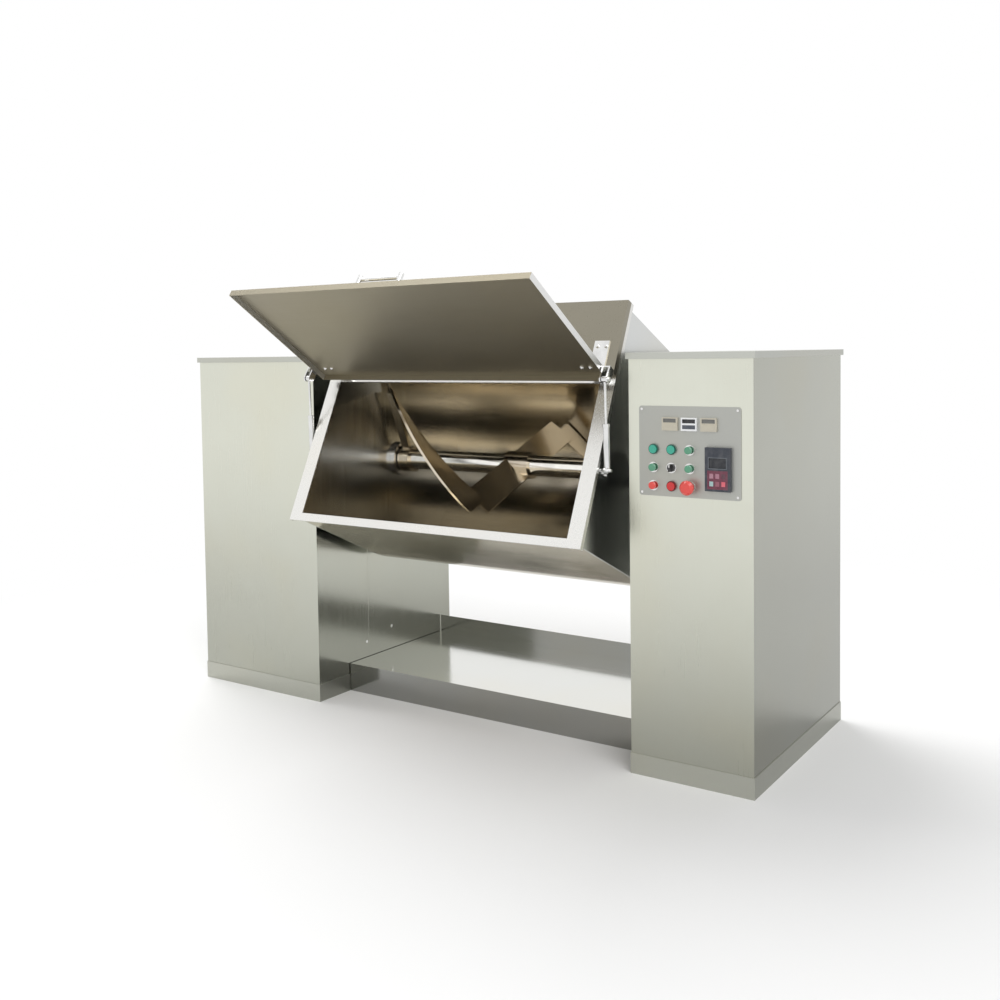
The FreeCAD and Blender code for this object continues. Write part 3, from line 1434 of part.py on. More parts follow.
def panel_meters():
    """Three small indicator modules in the top row, each with a raised frame."""
    pieces = []
    wide, high, deep = size("meter_width"), size("meter_height"), size("meter_depth")
    edge, sink = size("meter_window_edge"), size("meter_window_sink")
    for column in range(3):
        frame = panel_at(size("first_meter") + size("meter_pitch") * column,
                         size("meter_row"))
        block = box(wide, deep, high, -wide / 2, -deep, -high / 2, frame)
        window = box(wide - 2 * edge, 2 * sink, high / 2 - size("meter_window_top"),
                     edge - wide / 2, -deep - sink, 0, frame)
        pieces.append(cut(block, window))
    return node("panel_meters", group(*pieces))


def drive_keypad():
    """Drive keypad: a raised frame with a display recess and six membrane keys."""
    wide, high, thick = size("keypad_width"), size("keypad_height"), size("keypad_thick")
    frame = panel_at(size("keypad_offset"), -size("keypad_drop"))
    block = box(wide, thick, high, -wide / 2, -thick, -high / 2, frame)
    recesses = []
    for name, sink in (("display", size("display_sink")), ("key_field",
                                                           size("key_field_sink"))):
        across = size(name + "_width")
        recesses.append(box(across, 2 * sink, size(name + "_height"), -across / 2,
                            -thick - sink, size(name + "_bottom"), frame))
    pieces = [cut(block, *recesses)]
    rise, key = size("key_rise"), size("key_width")
    for column in (-1, 0, 1):
        for row in (0, 1):
            x = column * size("key_column_pitch") - key / 2
            z = size("key_first_row") + row * size("key_row_pitch")
            pieces.append(box(key, rise, size("key_height"), x,
                              size("key_field_sink") - thick - rise, z, frame))
    return node("drive_keypad", group(*pieces))


def control_gear():
    """Mounting plate with contactors and the speed drive on the outer cabinet wall."""
    sheet_ = size("gear_plate")
    wall = half_length - size("shell_setback") - size("cabinet_sheet")
    face, front = wall - sheet_, size("gear_front_gap") - half_depth
    first = front + size("gear_edge")
    drive, contactor = size("speed_drive_width"), size("contactor_width")
    pieces = [box(sheet_, size("gear_plate_depth"), size("gear_plate_height"), face, front,
                  size("gear_plate_bottom")),
              box(drive, size("speed_drive_depth"), size("speed_drive_height"), face - drive,
                  first, size("speed_drive_bottom"))]
    for number in range(SIZES["contactors"]):
        pieces.append(box(contactor, size("contactor_depth"), size("contactor_height"),
                          face - contactor, first + size("contactor_pitch") * number,
                          size("contactor_bottom")))
    return node("control_gear", group(*pieces))


# ------------------------------------------------------------------ assembly


def build():
    base_frame()
    base_deck()
    for side, sign in SIDES:
        cabinet_shell(side)
        cabinet_top(side)
        rear_door(side)
    cabinet_screws()
    half_stand = size("bearing_width") / 2 + size("stand_margin")
    bearing_stand("left", left_bearing - half_stand, left_bearing + half_stand)
    bearing_stand("right", right_bearing - half_stand,
                  tilt_reducer_middle + size("tilt_reducer_width") / 2)
    trunnion_bearings()
    motor_shell()
    motor_cowl()
    main_reducer()
    reducer_stand()
    belt_plane = size("pulley_back")
    pulley("motor_pulley", size("motor_pulley_radius"), belt_plane, size("motor_height"))
    pulley("reducer_pulley", size("reducer_pulley_radius"), belt_plane, worm_height)
    v_belts(belt_plane)
    tilt_reducer()
    tilt_motor()
    trough_shell()
    for side, sign in SIDES:
        end_plate(side)
        trunnion(side)
    rim_frame()
    rear_cover()
    hinge_straps()
    cover_bolts()
    shaft_seals()
    shaft_bushes()
    stay_studs()
    lid_panel()
    lid_hinge_leaves()
    lid_handle()
    lid_cranks()
    stay_tubes()
    stay_rods()
    agitator_shaft()
    flights = [ribbon(side) for side, sign in SIDES]
    centre_arm(flights)
    end_arms(flights)
    control_panel()
    panel_screws()
    panel_bezels()
    for kind in ("green_lamp", "red_lamp"):
        lamps(kind)
    moving_controls()
    contact_blocks()
    panel_meters()
    drive_keypad()
    control_gear()
    doc.recompute()


def check_and_write():
    """Refuse any failed object, then write one STEP file per node."""
    faults = []
    for item in doc.Objects:
        if "Invalid" in item.State or "Error" in item.State:
            faults.append("%s (%s) %s" % (item.Name, item.Label, item.State))
    for item in NODES:
        if item.Shape.isNull() or not item.Shape.isValid() or not item.Shape.Solids:
            faults.append("%s has no sound shape" % item.Label)
    if faults:
        raise RuntimeError("failed objects: " + "; ".join(faults))
    os.makedirs("parts", exist_ok=True)
    for item in NODES:
        item.Shape.exportStep("parts/%s.step" % item.Label)


build()
check_and_write()
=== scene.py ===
"""Looks of the tilting trough mixer: finishes for its CAD nodes, small visible trim, and a
plain studio. Everything is in metres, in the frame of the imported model."""

import json
import math

import bmesh
import bpy
from mathutils import Matrix, Vector


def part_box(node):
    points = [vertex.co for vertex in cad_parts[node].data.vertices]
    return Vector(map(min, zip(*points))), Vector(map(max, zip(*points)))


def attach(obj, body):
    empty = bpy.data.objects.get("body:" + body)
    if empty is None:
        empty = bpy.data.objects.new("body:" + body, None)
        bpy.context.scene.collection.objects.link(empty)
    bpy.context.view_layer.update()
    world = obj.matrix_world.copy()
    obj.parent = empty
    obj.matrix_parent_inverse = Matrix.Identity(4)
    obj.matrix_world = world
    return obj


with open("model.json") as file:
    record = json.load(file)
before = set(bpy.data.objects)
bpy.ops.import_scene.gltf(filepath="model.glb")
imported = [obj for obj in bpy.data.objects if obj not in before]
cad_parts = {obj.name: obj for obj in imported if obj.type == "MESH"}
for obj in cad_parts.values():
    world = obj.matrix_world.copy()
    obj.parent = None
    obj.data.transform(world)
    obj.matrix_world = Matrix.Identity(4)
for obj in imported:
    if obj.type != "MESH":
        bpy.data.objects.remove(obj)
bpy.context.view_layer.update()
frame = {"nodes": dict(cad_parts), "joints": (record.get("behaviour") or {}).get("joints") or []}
NODES = frame["nodes"]

bl_info = {
    "name": "Trough Mixer Looks",
    "version": (1, 0, 0),
    "blender": (4, 5, 0),
    "location": "3D View > Sidebar > Mixer",
    "description": "Finishes, trim and studio for a tilting trough mixer",
    "category": "Object",
}

# ------------------------------------------------------------------ shader expressions


class Socket:
    """An output socket of a node tree; arithmetic on it adds Math nodes."""

    def __init__(self, nodes, socket):
        self.nodes = nodes
        self.socket = socket

    def _math(self, operation, first, second=0.0):
        return self.nodes.node("ShaderNodeMath", {"operation": operation},
                               {0: first, 1: second})

    def __add__(self, other):
        return self._math("ADD", self, other)

    def __radd__(self, other):
        return self._math("ADD", other, self)

    def __sub__(self, other):
        return self._math("SUBTRACT", self, other)

    def __rsub__(self, other):
        return self._math("SUBTRACT", other, self)

    def __mul__(self, other):
        return self._math("MULTIPLY", self, other)

    def __rmul__(self, other):
        return self._math("MULTIPLY", other, self)

    def __gt__(self, other):
        return self._math("GREATER_THAN", self, other)

    def __lt__(self, other):
        return self._math("LESS_THAN", self, other)

    def absolute(self):
        return self._math("ABSOLUTE", self)

    def within(self, low, high):
        """1 between low and high, else 0."""
        return (self > low) * (self < high)

    def fade(self, low, high):
        """0 below low, 1 above high, smooth between."""
        return self.nodes.node("ShaderNodeMapRange", {"interpolation_type": "SMOOTHSTEP"},
                               {"Value": self, "From Min": low, "From Max": high})


class Nodes:
    """Adds nodes to one node tree, which starts empty."""

    def __init__(self, tree):
        self.tree = tree
        self.tree.nodes.clear()

    def node(self, kind, settings=None, inputs=None, output=0):
        """Add a node: its settings first, then values or links of its sockets."""
        item = self.tree.nodes.new(kind)
        for key, value in (settings or {}).items():
            setattr(item, key, value)
        for key, value in (inputs or {}).items():
            target = item.inputs[key]
            if isinstance(value, Socket):
                self.tree.links.new(value.socket, target)
            else:
                target.default_value = value
        return Socket(self, item.outputs[output]) if item.outputs else None

    def seen(self):
        """1 for camera, glossy and transmission rays, which all show the backdrop."""
        rays = ("Is Camera Ray", "Is Glossy Ray", "Is Transmission Ray")
        return sum(self.node("ShaderNodeLightPath", output=ray) for ray in rays)


class Finish(Nodes):
    """A node material built from expressions."""

    def __init__(self, name):
        self.material = bpy.data.materials.new(name)
        self.material.use_nodes = True
        super().__init__(self.material.node_tree)
        self._place = None

    def place(self):
        """Position on the resting object, in metres."""
        if self._place is None:
            self._place = self.node("ShaderNodeTexCoord", output="Object")
        return self._place

    def axis(self, letter):
        """Position along X, Y or Z."""
        return self.node("ShaderNodeSeparateXYZ", None, {0: self.place()}, output=letter)

    def stretched(self, scale):
        return self.node("ShaderNodeVectorMath", {"operation": "MULTIPLY"},
                         {0: self.place(), 1: scale})

    def noise(self, scale, detail=3.0, roughness=0.5, along=(1, 1, 1), distortion=0.0):
        return self.node("ShaderNodeTexNoise", None,
                         {"Vector": self.stretched(along), "Scale": scale, "Detail": detail,
                          "Roughness": roughness, "Distortion": distortion})

    def mix(self, factor, first, second, blend="MIX"):
        """Mix two colours."""
        return self.node("ShaderNodeMix", {"data_type": "RGBA", "blend_type": blend},
                         {"Factor": factor, 6: first, 7: second}, output=2)

    def bump(self, height, strength, distance):
        return self.node("ShaderNodeBump", None,
                         {"Height": height, "Strength": strength, "Distance": distance})

    def facing(self, letter):
        """How squarely a face looks along one axis, 0 to 1."""
        normal = self.node("ShaderNodeTexCoord", output="Normal")
        return self.node("ShaderNodeSeparateXYZ", None, {0: normal}, output=letter).absolute()

    def shade(self, fall, side, front):
        """Painted shade of a sheet: darker towards its foot, on its side faces and on its front.
        """
        tone = 1.0
        if fall is not None:
            low, high, foot = fall
            tone = self.axis("Z").fade(low, high) * (1 - foot) + foot
        for letter, dimmed in (("X", side), ("Y", front)):
            if dimmed < 1:
                tone = tone * (1 - self.facing(letter) * (1 - dimmed))
        return tone

    def principled(self, **inputs):
        """Principled shader from socket names with underscores for spaces."""
        named = {key.replace("_", " "): value for key, value in inputs.items()}
        return self.node("ShaderNodeBsdfPrincipled", None, named)

    def finished(self, shader):
        """The material, with this shader as its surface."""
        self.node("ShaderNodeOutputMaterial", None, {"Surface": shader})
        return self.material

    def surface(self, **inputs):
        return self.finished(self.principled(**inputs))


def rgba(colour, shade=1.0):
    """A colour socket's value, with each channel times shade."""
    return tuple(min(1.0, channel * shade) for channel in colour[:3]) + (1.0,)


# ------------------------------------------------------------------ finishes


BLACK = (0.0, 0.0, 0.0, 1.0)
WHITE = (1.0, 1.0, 1.0, 1.0)
DUST = (0.3, 0.3, 0.3, 1.0)
DARK_CLOUD = (0.80, 0.78, 0.74)
LIGHT_CLOUD = (1.20, 1.22, 1.24)
WARM_TINT = (1.02, 0.97, 0.86)
BRUSHED_UP = (260, 260, 4)
BRUSHED_ACROSS = (4, 260, 260)


def times(colour, tint):
    """Channel by channel product of two colours."""
    return [channel * factor for channel, factor in zip(colour, tint)]


def brushed_steel(name, colour, cloud=0.10, cloud_scale=3.0, warm=0.35, roughness=0.30,
                  grain=BRUSHED_UP, grain_depth=0.04, fall=None, side=1.0, front=1.0,
                  polish=0.0, edge_highlight=None):
    """Stainless sheet: fine brushing along grain and slow cloudy changes of tone.

    fall is a low height, a high height and the tone at the low one; side and front are the
    tones of faces towards X and Y; all three are painted shade in the colour. polish smooths
    the faces towards X; the edge colour is painted over them as a highlight.
    """
    finish = Finish(name)
    clouds = finish.noise(cloud_scale, 4.0, 0.6, distortion=0.5)
    streaks = finish.noise(1.0, 2.0, 0.6, along=grain)
    tone = (clouds - 0.5) * (2 * cloud) + (streaks - 0.5) * 0.07 + 0.5
    base = finish.mix(tone, rgba(times(colour, DARK_CLOUD)), rgba(times(colour, LIGHT_CLOUD)))
    tint = finish.noise(cloud_scale * 0.7, 2.0, 0.5).fade(0.45, 0.75) * warm
    base = finish.mix(tint, base, rgba(times(colour, WARM_TINT)))
    # Painted shade: the colour darkens towards the foot and on faces towards X and Y.
    base = finish.mix(finish.shade(fall, side, front), BLACK, base)
    # Painted highlight: faces towards X take the bright edge colour.
    if edge_highlight is not None:
        base = finish.mix(finish.facing("X").fade(0.5, 0.9), base, rgba(edge_highlight))
    rough = (streaks - 0.5) * 0.12 + (clouds - 0.5) * 0.08 + roughness
    if polish:
        rough = rough - finish.facing("X") * polish
    return finish.surface(Base_Color=base, Metallic=1.0, Roughness=rough,
                          Normal=finish.bump(streaks, grain_depth, 0.0004))


def polished_steel(name, colour, roughness=0.12, smear=0.05):
    """Turned or polished steel with faint smears."""
    finish = Finish(name)
    marks = finish.noise(14.0, 4.0, 0.6)
    base = finish.mix(marks.fade(0.3, 0.7), rgba(colour, 0.9), rgba(colour, 1.06))
    return finish.surface(Base_Color=base, Metallic=1.0, Roughness=marks * smear + roughness,
                          Normal=finish.bump(finish.noise(90.0, 2.0), 0.03, 0.0004))


def machine_paint(name, colour, roughness=0.42):
    """Sprayed machine enamel with a light orange peel and dusty patches."""
    finish = Finish(name)
    dust = finish.noise(9.0, 4.0, 0.6).fade(0.5, 0.8)
    base = finish.mix(dust * 0.35, rgba(colour), rgba([c * 0.7 + 0.12 for c in colour]))
    peel = finish.noise(420.0, 2.0, 0.5)
    return finish.surface(Base_Color=base, Roughness=dust * 0.2 + roughness,
                          Normal=finish.bump(peel, 0.12, 0.0005))


def moulded_plastic(name, colour, roughness=0.35, coat=0.0):
    """Moulded plastic with a fine spark texture."""
    finish = Finish(name)
    spark = finish.noise(1500.0, 2.0, 0.5)
    wear = finish.noise(60.0, 3.0, 0.5)
    base = finish.mix(wear.fade(0.35, 0.75) * 0.3, rgba(colour), rgba(colour, 0.82))
    return finish.surface(Base_Color=base, Roughness=wear * 0.1 + roughness, Coat_Weight=coat,
                          Normal=finish.bump(spark, 0.08, 0.0002))


def field(tint, x, low, half_width, height):
    """A coloured rectangle on an upright face: its middle in x, its foot and its size."""
    return tint, (x - half_width, x + half_width), (low, low + height)


def zoned_plastic(name, colour, fields, roughness=0.4):
    """Moulded plastic with coloured fields on it; later fields lie over earlier ones."""
    finish = Finish(name)
    across, up = finish.axis("X"), finish.axis("Z")
    base = rgba(colour)
    for tint, wide, tall in fields:
        inside = across.within(*wide) * up.within(*tall)
        base = finish.mix(inside, base, rgba(tint))
    wear = finish.noise(70.0, 3.0)
    base = finish.mix(wear.fade(0.3, 0.8) * 0.15, base, DUST)
    return finish.surface(Base_Color=base, Roughness=wear * 0.12 + roughness,
                          Normal=finish.bump(finish.noise(1500.0, 2.0), 0.06, 0.0002))


def lamp_lens(name, colour, front):
    """Ribbed lens: a bright middle in a darker rim set back from its front."""
    finish = Finish(name)
    rim = finish.axis("Y").fade(front + 0.001, front + 0.003)
    base = finish.mix(rim, rgba(colour), rgba(colour, 0.25))
    ribs = finish.noise(1.0, 1.0, 0.5, along=(900, 20, 900))
    return finish.surface(Base_Color=base, Roughness=ribs * 0.15 + 0.18, Coat_Weight=0.5,
                          Normal=finish.bump(ribs, 0.2, 0.0003))


def belt_rubber(name):
    """Black rubber with a faint ribbing."""
    finish = Finish(name)
    ribs = finish.noise(300.0, 2.0)
    base = finish.mix(ribs, rgba((0.015, 0.015, 0.016)), rgba((0.035, 0.034, 0.033)))
    return finish.surface(Base_Color=base, Roughness=0.7, Normal=finish.bump(ribs, 0.3, 0.0004))


def dress(material, *names):
    """Give CAD nodes one material."""
    for name in names:
        slots = NODES[name].data.materials
        slots.clear()
        slots.append(material)


def new_piece(name, mesh, material, body):
    """Add a mesh as a piece of one material that rides on a body."""
    piece = bpy.data.objects.new(name, mesh)
    bpy.context.scene.collection.objects.link(piece)
    piece.data.materials.append(material)
    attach(piece, body)
    return piece


def joint(name):
    """One joint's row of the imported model."""
    return next(row for row in frame["joints"] if row["name"] == name)


# A fastener's profile: share of its radius, and height as a share of its head's.
FASTENER_RINGS = ((1.0, -0.05), (1.0, 0.7), (0.8, 1.0), (0.4, 1.0), (0.4, 1.35), (0.25, 1.5))


def fastener_mesh(name, places, outward, radius, height, sides):
    """Screw heads or nuts with a bevelled crown and a bolt end, on a face at places."""
    mesh = bpy.data.meshes.new(name)
    shape = bmesh.new()
    turn = Vector(outward).to_track_quat("Z", "Y").to_matrix()
    for place in places:
        loops = []
        for wide, high in FASTENER_RINGS:
            corners = [Vector((radius * wide * math.cos(math.tau * i / sides),
                               radius * wide * math.sin(math.tau * i / sides),
                               height * high)) for i in range(sides)]
            loops.append([shape.verts.new(Vector(place) + turn @ corner)
                          for corner in corners])
        for lower, upper in zip(loops, loops[1:]):
            for i in range(sides):
                j = (i + 1) % sides
                shape.faces.new((lower[i], lower[j], upper[j], upper[i]))
        shape.faces.new(loops[-1])
        shape.faces.new(list(reversed(loops[0])))
    shape.to_mesh(mesh)
    shape.free()
    return mesh


# ------------------------------------------------------------------ settings


def colour_property(name, description, default):
    return bpy.props.FloatVectorProperty(name=name, description=description, default=default,
                                         subtype="COLOR", size=3, min=0.0, max=1.0)


def length_property(name, description, default):
    return bpy.props.FloatProperty(name=name, description=description, default=default,
                                   unit="LENGTH", min=0.0, precision=4)


def angle_property(name, description, degrees):
    return bpy.props.FloatProperty(name=name, description=description, subtype="ANGLE",
                                   default=math.radians(degrees))


def strength_property(name, description, default):
    return bpy.props.FloatProperty(name=name, description=description, default=default,
                                   min=0.0)


class MixerTrim(bpy.types.PropertyGroup):
    """Sizes of the small trim that the solids leave out."""

    seam_foot: length_property("Seam foot", "Height of the side seam's lower end", 0.13)
    seam_head: length_property("Seam head", "Height of the side seam's upper end", 0.60)
    seam_place: length_property("Seam place", "Seam's distance in front of the middle", 0.112)
    seam_width: length_property("Seam width", "Width of the seam at its foot", 0.009)
    seam_crown: length_property("Seam crown", "Width of the seam's flat crown", 0.006)
    seam_rise: length_property("Seam rise", "How far the seam stands out", 0.0008)
    seam_sink: length_property("Seam sink", "How far the seam reaches into the sheet", 0.0002)
    screw_radius: length_property("Screw radius", "Radius of the side screws", 0.0055)
    screw_height: length_property("Screw height", "Height of the side screws", 0.0016)
    nut_radius: length_property("Nut radius", "Radius over the corners of the lid's nuts",
                                0.0065)
    nut_height: length_property("Nut height", "Height of the lid's nuts", 0.005)
    nut_spread: length_property("Nut spread", "Distance of a nut from its leaf's middle",
                                0.014)
    nut_back: length_property("Nut setback", "Distance of the nuts from the hinge axis",
                              0.057)
    nut_drop: length_property("Nut drop", "Depth of the nuts' seat under the hinge axis",
                              0.0045)
    leaf_width: length_property("Leaf width", "Width of one hinge leaf", 0.048)


class MixerFinishes(bpy.types.PropertyGroup):
    """Colours of the mixer's surfaces."""

    cabinet: colour_property("Cabinet", "Brushed steel of both cabinets",
                             (0.71, 0.72, 0.635))
    cover: colour_property("Cabinet tops", "Brushed steel of the cabinets' tops",
                           (0.54, 0.55, 0.51))
    trough: colour_property("Trough", "Polished steel of the trough", (0.55, 0.49, 0.39))
    end: colour_property("End plates", "Steel of the trough's ends", (0.62, 0.63, 0.63))
    rim: colour_property("Rim", "Bright steel of the trough rim", (0.84, 0.84, 0.81))
    lid: colour_property("Lid", "Brushed steel of the lid", (0.34, 0.31, 0.24))
    rear: colour_property("Rear cover", "Brushed steel of the rear cover",
                          (0.28, 0.26, 0.21))
    deck: colour_property("Deck", "Polished steel of the drip deck", (0.76, 0.765, 0.74))
    skid: colour_property("Skid", "Steel of the plinths", (0.47, 0.475, 0.43))
    agitator: colour_property("Agitator", "Steel of ribbons and arms", (0.68, 0.61, 0.50))
    shaft: colour_property("Shaft", "Polished steel of the shaft", (0.95, 0.93, 0.88))
    bright: colour_property("Bright steel", "Stays, bezels, screws and handle",
                            (0.78, 0.78, 0.77))
    panel: colour_property("Panel", "Instrument plate", (0.46, 0.465, 0.44))
    green: colour_property("Green", "Green push buttons", (0.10, 0.33, 0.20))
    green_lens: colour_property("Green lens", "Green lamps", (0.03, 0.40, 0.28))
    red: colour_property("Red", "Red push button and stop mushroom", (0.78, 0.07, 0.055))
    red_lens: colour_property("Red lens", "Red lamp", (0.62, 0.012, 0.012))
    machine: colour_property("Machine paint", "Motors and reducers", (0.14, 0.22, 0.30))


class MixerStage(bpy.types.PropertyGroup):
    """Camera, lamps and floor."""

    eye: bpy.props.FloatVectorProperty(name="Camera place", description="Camera position",
                                       default=(2.1302, -3.1288, 1.2080),
                                       subtype="TRANSLATION", unit="LENGTH", size=3)
    yaw: angle_property("Yaw", "Turn of the camera to the left", 34.07)
    pitch: angle_property("Pitch", "Camera tilt above level", -2.86)
    roll: angle_property("Roll", "Camera roll", -0.79)
    lens: bpy.props.FloatProperty(name="Lens", description="Focal length", default=39.43,
                                  subtype="DISTANCE_CAMERA")
    rise: bpy.props.FloatProperty(name="Shift", description="Upward shift of the frame",
                                  default=-0.0938)
    key: strength_property("Key lamp", "Strength of the key lamp", 1.55)
    fill: strength_property("Fill lamp", "Strength of the fill lamp", 1.2)
    spread: angle_property("Lamp spread", "Apparent width of both lamps", 40)
    sky: strength_property("Sky", "Strength of the world as a light", 0.55)
    paper_start: length_property("Backdrop start", "Where the floor starts to turn white", 1.9)
    paper_end: length_property("Backdrop end", "Where the floor is plain white", 3.0)
    floor_half: length_property("Floor size", "Half the side of the floor", 14.0)
    floor: colour_property("Floor", "Colour of the floor", (0.86, 0.86, 0.86))


# ------------------------------------------------------------------ operators


class MixerOperator(bpy.types.Operator):
    """Shared base of the mixer's operators."""

    bl_idname = "mixer.base"
    bl_label = "Mixer"

    @property
    def finishes(self):
        return bpy.context.scene.mixer_finishes

    @property
    def trim(self):
        return bpy.context.scene.mixer_trim


class MIXER_OT_cabinets(MixerOperator):
    """Brushed sheet for both cabinets, their covers and doors"""

    bl_idname = "mixer.cabinets"
    bl_label = "Finish cabinets"

    def execute(self, context):
        # Painted shade: the cabinets darken towards their feet and on their faces towards X, the
        # right cabinet's more than the left one's.
        tones = {"fall": (0.02, 0.95, 0.58), "polish": 0.12, "cloud": 0.12,
                 "cloud_scale": 3.5}
        sheet = brushed_steel("left_cabinet_steel", self.finishes.cabinet, side=0.82, **tones)
        dress(sheet, "left_cabinet_shell", "left_rear_door")
        dress(brushed_steel("right_cabinet_steel", self.finishes.cabinet, side=0.55, **tones),
              "right_cabinet_shell", "right_rear_door")
        # Painted shade: the tops' faces towards X are darkened in their colour.
        cover = brushed_steel("cover_steel", self.finishes.cover, grain=BRUSHED_ACROSS,
                              side=0.8)
        dress(cover, "left_cabinet_top", "right_cabinet_top")
        self.seam(sheet)
        dress(polished_steel("screw_steel", self.finishes.bright), "cabinet_screws",
              "panel_screws", "cover_bolts")
        return {"FINISHED"}

    def seam(self, sheet):
        """Folded joint and two round-headed screws on the left cabinet's inner side."""
        trim = self.trim
        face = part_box("left_cabinet_shell")[1][0]
        foot, crown = trim.seam_width / 2, trim.seam_crown / 2
        profile = ((-foot, -trim.seam_sink), (-crown, trim.seam_rise),
                   (crown, trim.seam_rise), (foot, -trim.seam_sink))
        mesh = bpy.data.meshes.new("side_seam")
        shape = bmesh.new()
        lower, upper = [[shape.verts.new((face + out, side - trim.seam_place, height))
                         for side, out in profile]
                        for height in (trim.seam_foot, trim.seam_head)]
        for i, j in ((0, 1), (1, 2), (2, 3), (3, 0)):
            shape.faces.new((lower[i], lower[j], upper[j], upper[i]))
        shape.faces.new(list(reversed(lower)))
        shape.faces.new(upper)
        shape.to_mesh(mesh)
        shape.free()
        new_piece("side_seam", mesh, sheet, "frame")
        places = [(face, 0.014, 0.182), (face, -0.128, 0.155)]
        heads = fastener_mesh("side_screws", places, (1, 0, 0), trim.screw_radius,
                              trim.screw_height, 20)
        steel = polished_steel("side_screw_steel", self.finishes.bright)
        new_piece("side_screws", heads, steel, "frame")


class MIXER_OT_skid(MixerOperator):
    """Dull plinths and a polished drip deck"""

    bl_idname = "mixer.skid"
    bl_label = "Finish skid and deck"

    def execute(self, context):
        # Painted shade: the plinths' faces towards X and the deck's front faces are darkened in
        # their colour.
        dress(brushed_steel("skid_steel", self.finishes.skid, roughness=0.34, side=0.75),
              "base_frame")
        dress(brushed_steel("deck_steel", self.finishes.deck, cloud=0.05, roughness=0.13,
                            grain=(3, 200, 200), front=0.44, grain_depth=0.02), "base_deck")
        return {"FINISHED"}


class MIXER_OT_trough(MixerOperator):
    """Polished trough, bright rim and the fittings on them"""

    bl_idname = "mixer.trough"
    bl_label = "Finish trough"

    def execute(self, context):
        wall = brushed_steel("trough_steel", self.finishes.trough, cloud=0.25,
                             cloud_scale=5.0, roughness=0.17, grain=(3, 160, 160),
                             grain_depth=0.02)
        dress(wall, "trough_shell")
        dress(brushed_steel("end_steel", self.finishes.end, roughness=0.22),
              "left_end_plate", "right_end_plate")
        # Painted shade: the rim's faces towards X are darkened in its colour.
        dress(brushed_steel("rim_steel", self.finishes.rim, cloud=0.05, roughness=0.26,
                            side=0.85), "rim_frame")
        dress(brushed_steel("cover_plate_steel", self.finishes.rear, cloud=0.14),
              "rear_cover")
        fittings = polished_steel("fitting_steel", self.finishes.bright, 0.2)
        dress(fittings, "left_trunnion", "right_trunnion", "shaft_seals", "stay_studs",
              "hinge_straps")
        dress(polished_steel("bronze", (0.60, 0.43, 0.22), 0.25), "shaft_bushes")
        return {"FINISHED"}


class MIXER_OT_lid(MixerOperator):
    """Brushed lid with its handle, hinge leaves and cranks"""

    bl_idname = "mixer.lid"
    bl_label = "Finish lid and stays"

    def execute(self, context):
        # Painted highlight: the lid's edge faces towards X get the bright steel colour.
        dress(brushed_steel("lid_steel", self.finishes.lid, cloud=0.25, cloud_scale=2.4,
                            roughness=0.46, grain=(3, 220, 220), edge_highlight=self.finishes.bright),
              "lid_panel")
        bright = polished_steel("bright_steel", self.finishes.bright)
        dress(bright, "lid_handle", "stay_tubes", "stay_rods", "lid_cranks",
              "lid_hinge_leaves")
        self.nuts(bright)
        return {"FINISHED"}


    def nuts(self, steel):
        """Nuts and bolt ends of the hinge leaves, on the lid's underside."""
        trim = self.trim
        tilt, opened = -joint("trough_tilt")["range_deg"][0], joint("lid_hinge")["range_deg"][1]
        swing = math.radians(tilt - opened)
        level = Vector((0, math.cos(swing), math.sin(swing)))
        down = Vector((0, math.sin(swing), -math.cos(swing)))
        seat = Vector(joint("lid_hinge")["pos_m"]) - level * trim.nut_back
        seat += down * trim.nut_drop
        low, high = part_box("lid_hinge_leaves")
        places = [(leaf + side, seat.y, seat.z)
                  for leaf in (low[0] + trim.leaf_width / 2, high[0] - trim.leaf_width / 2)
                  for side in (-trim.nut_spread, trim.nut_spread)]
        mesh = fastener_mesh("lid_nuts", places, down, trim.nut_radius, trim.nut_height, 6)
        new_piece("lid_nuts", mesh, steel, "lid")


class MIXER_OT_agitator(MixerOperator):
    """Polished shaft, ribbons and arms"""

    bl_idname = "mixer.agitator"
    bl_label = "Finish agitator"

    def execute(self, context):
        dress(brushed_steel("ribbon_steel", self.finishes.agitator, cloud=0.25,
                            cloud_scale=8.0, roughness=0.2, grain=(120, 120, 120)),
              "left_ribbon", "right_ribbon", "centre_arm", "end_arms")
        dress(polished_steel("shaft_steel", self.finishes.shaft, 0.14), "agitator_shaft")
        return {"FINISHED"}


class MIXER_OT_drives(MixerOperator):
    """Painted motors, reducers and stands inside the cabinets"""

    bl_idname = "mixer.drives"
    bl_label = "Finish drives"

    def execute(self, context):
        dress(machine_paint("machine_paint", self.finishes.machine), "main_motor",
              "motor_cowl", "main_reducer", "tilt_reducer", "tilt_motor")
        dress(machine_paint("stand_paint", (0.42, 0.44, 0.45)), "left_bearing_stand",
              "right_bearing_stand", "reducer_stand")
        dress(machine_paint("casting_paint", (0.25, 0.26, 0.27), 0.5), "trunnion_bearings",
              "motor_pulley", "reducer_pulley")
        dress(belt_rubber("belt_rubber"), "v_belts")
        dress(moulded_plastic("gear_plastic", (0.45, 0.46, 0.46)), "control_gear")
        dress(moulded_plastic("contact_plastic", (0.20, 0.21, 0.22)), "contact_blocks")
        return {"FINISHED"}


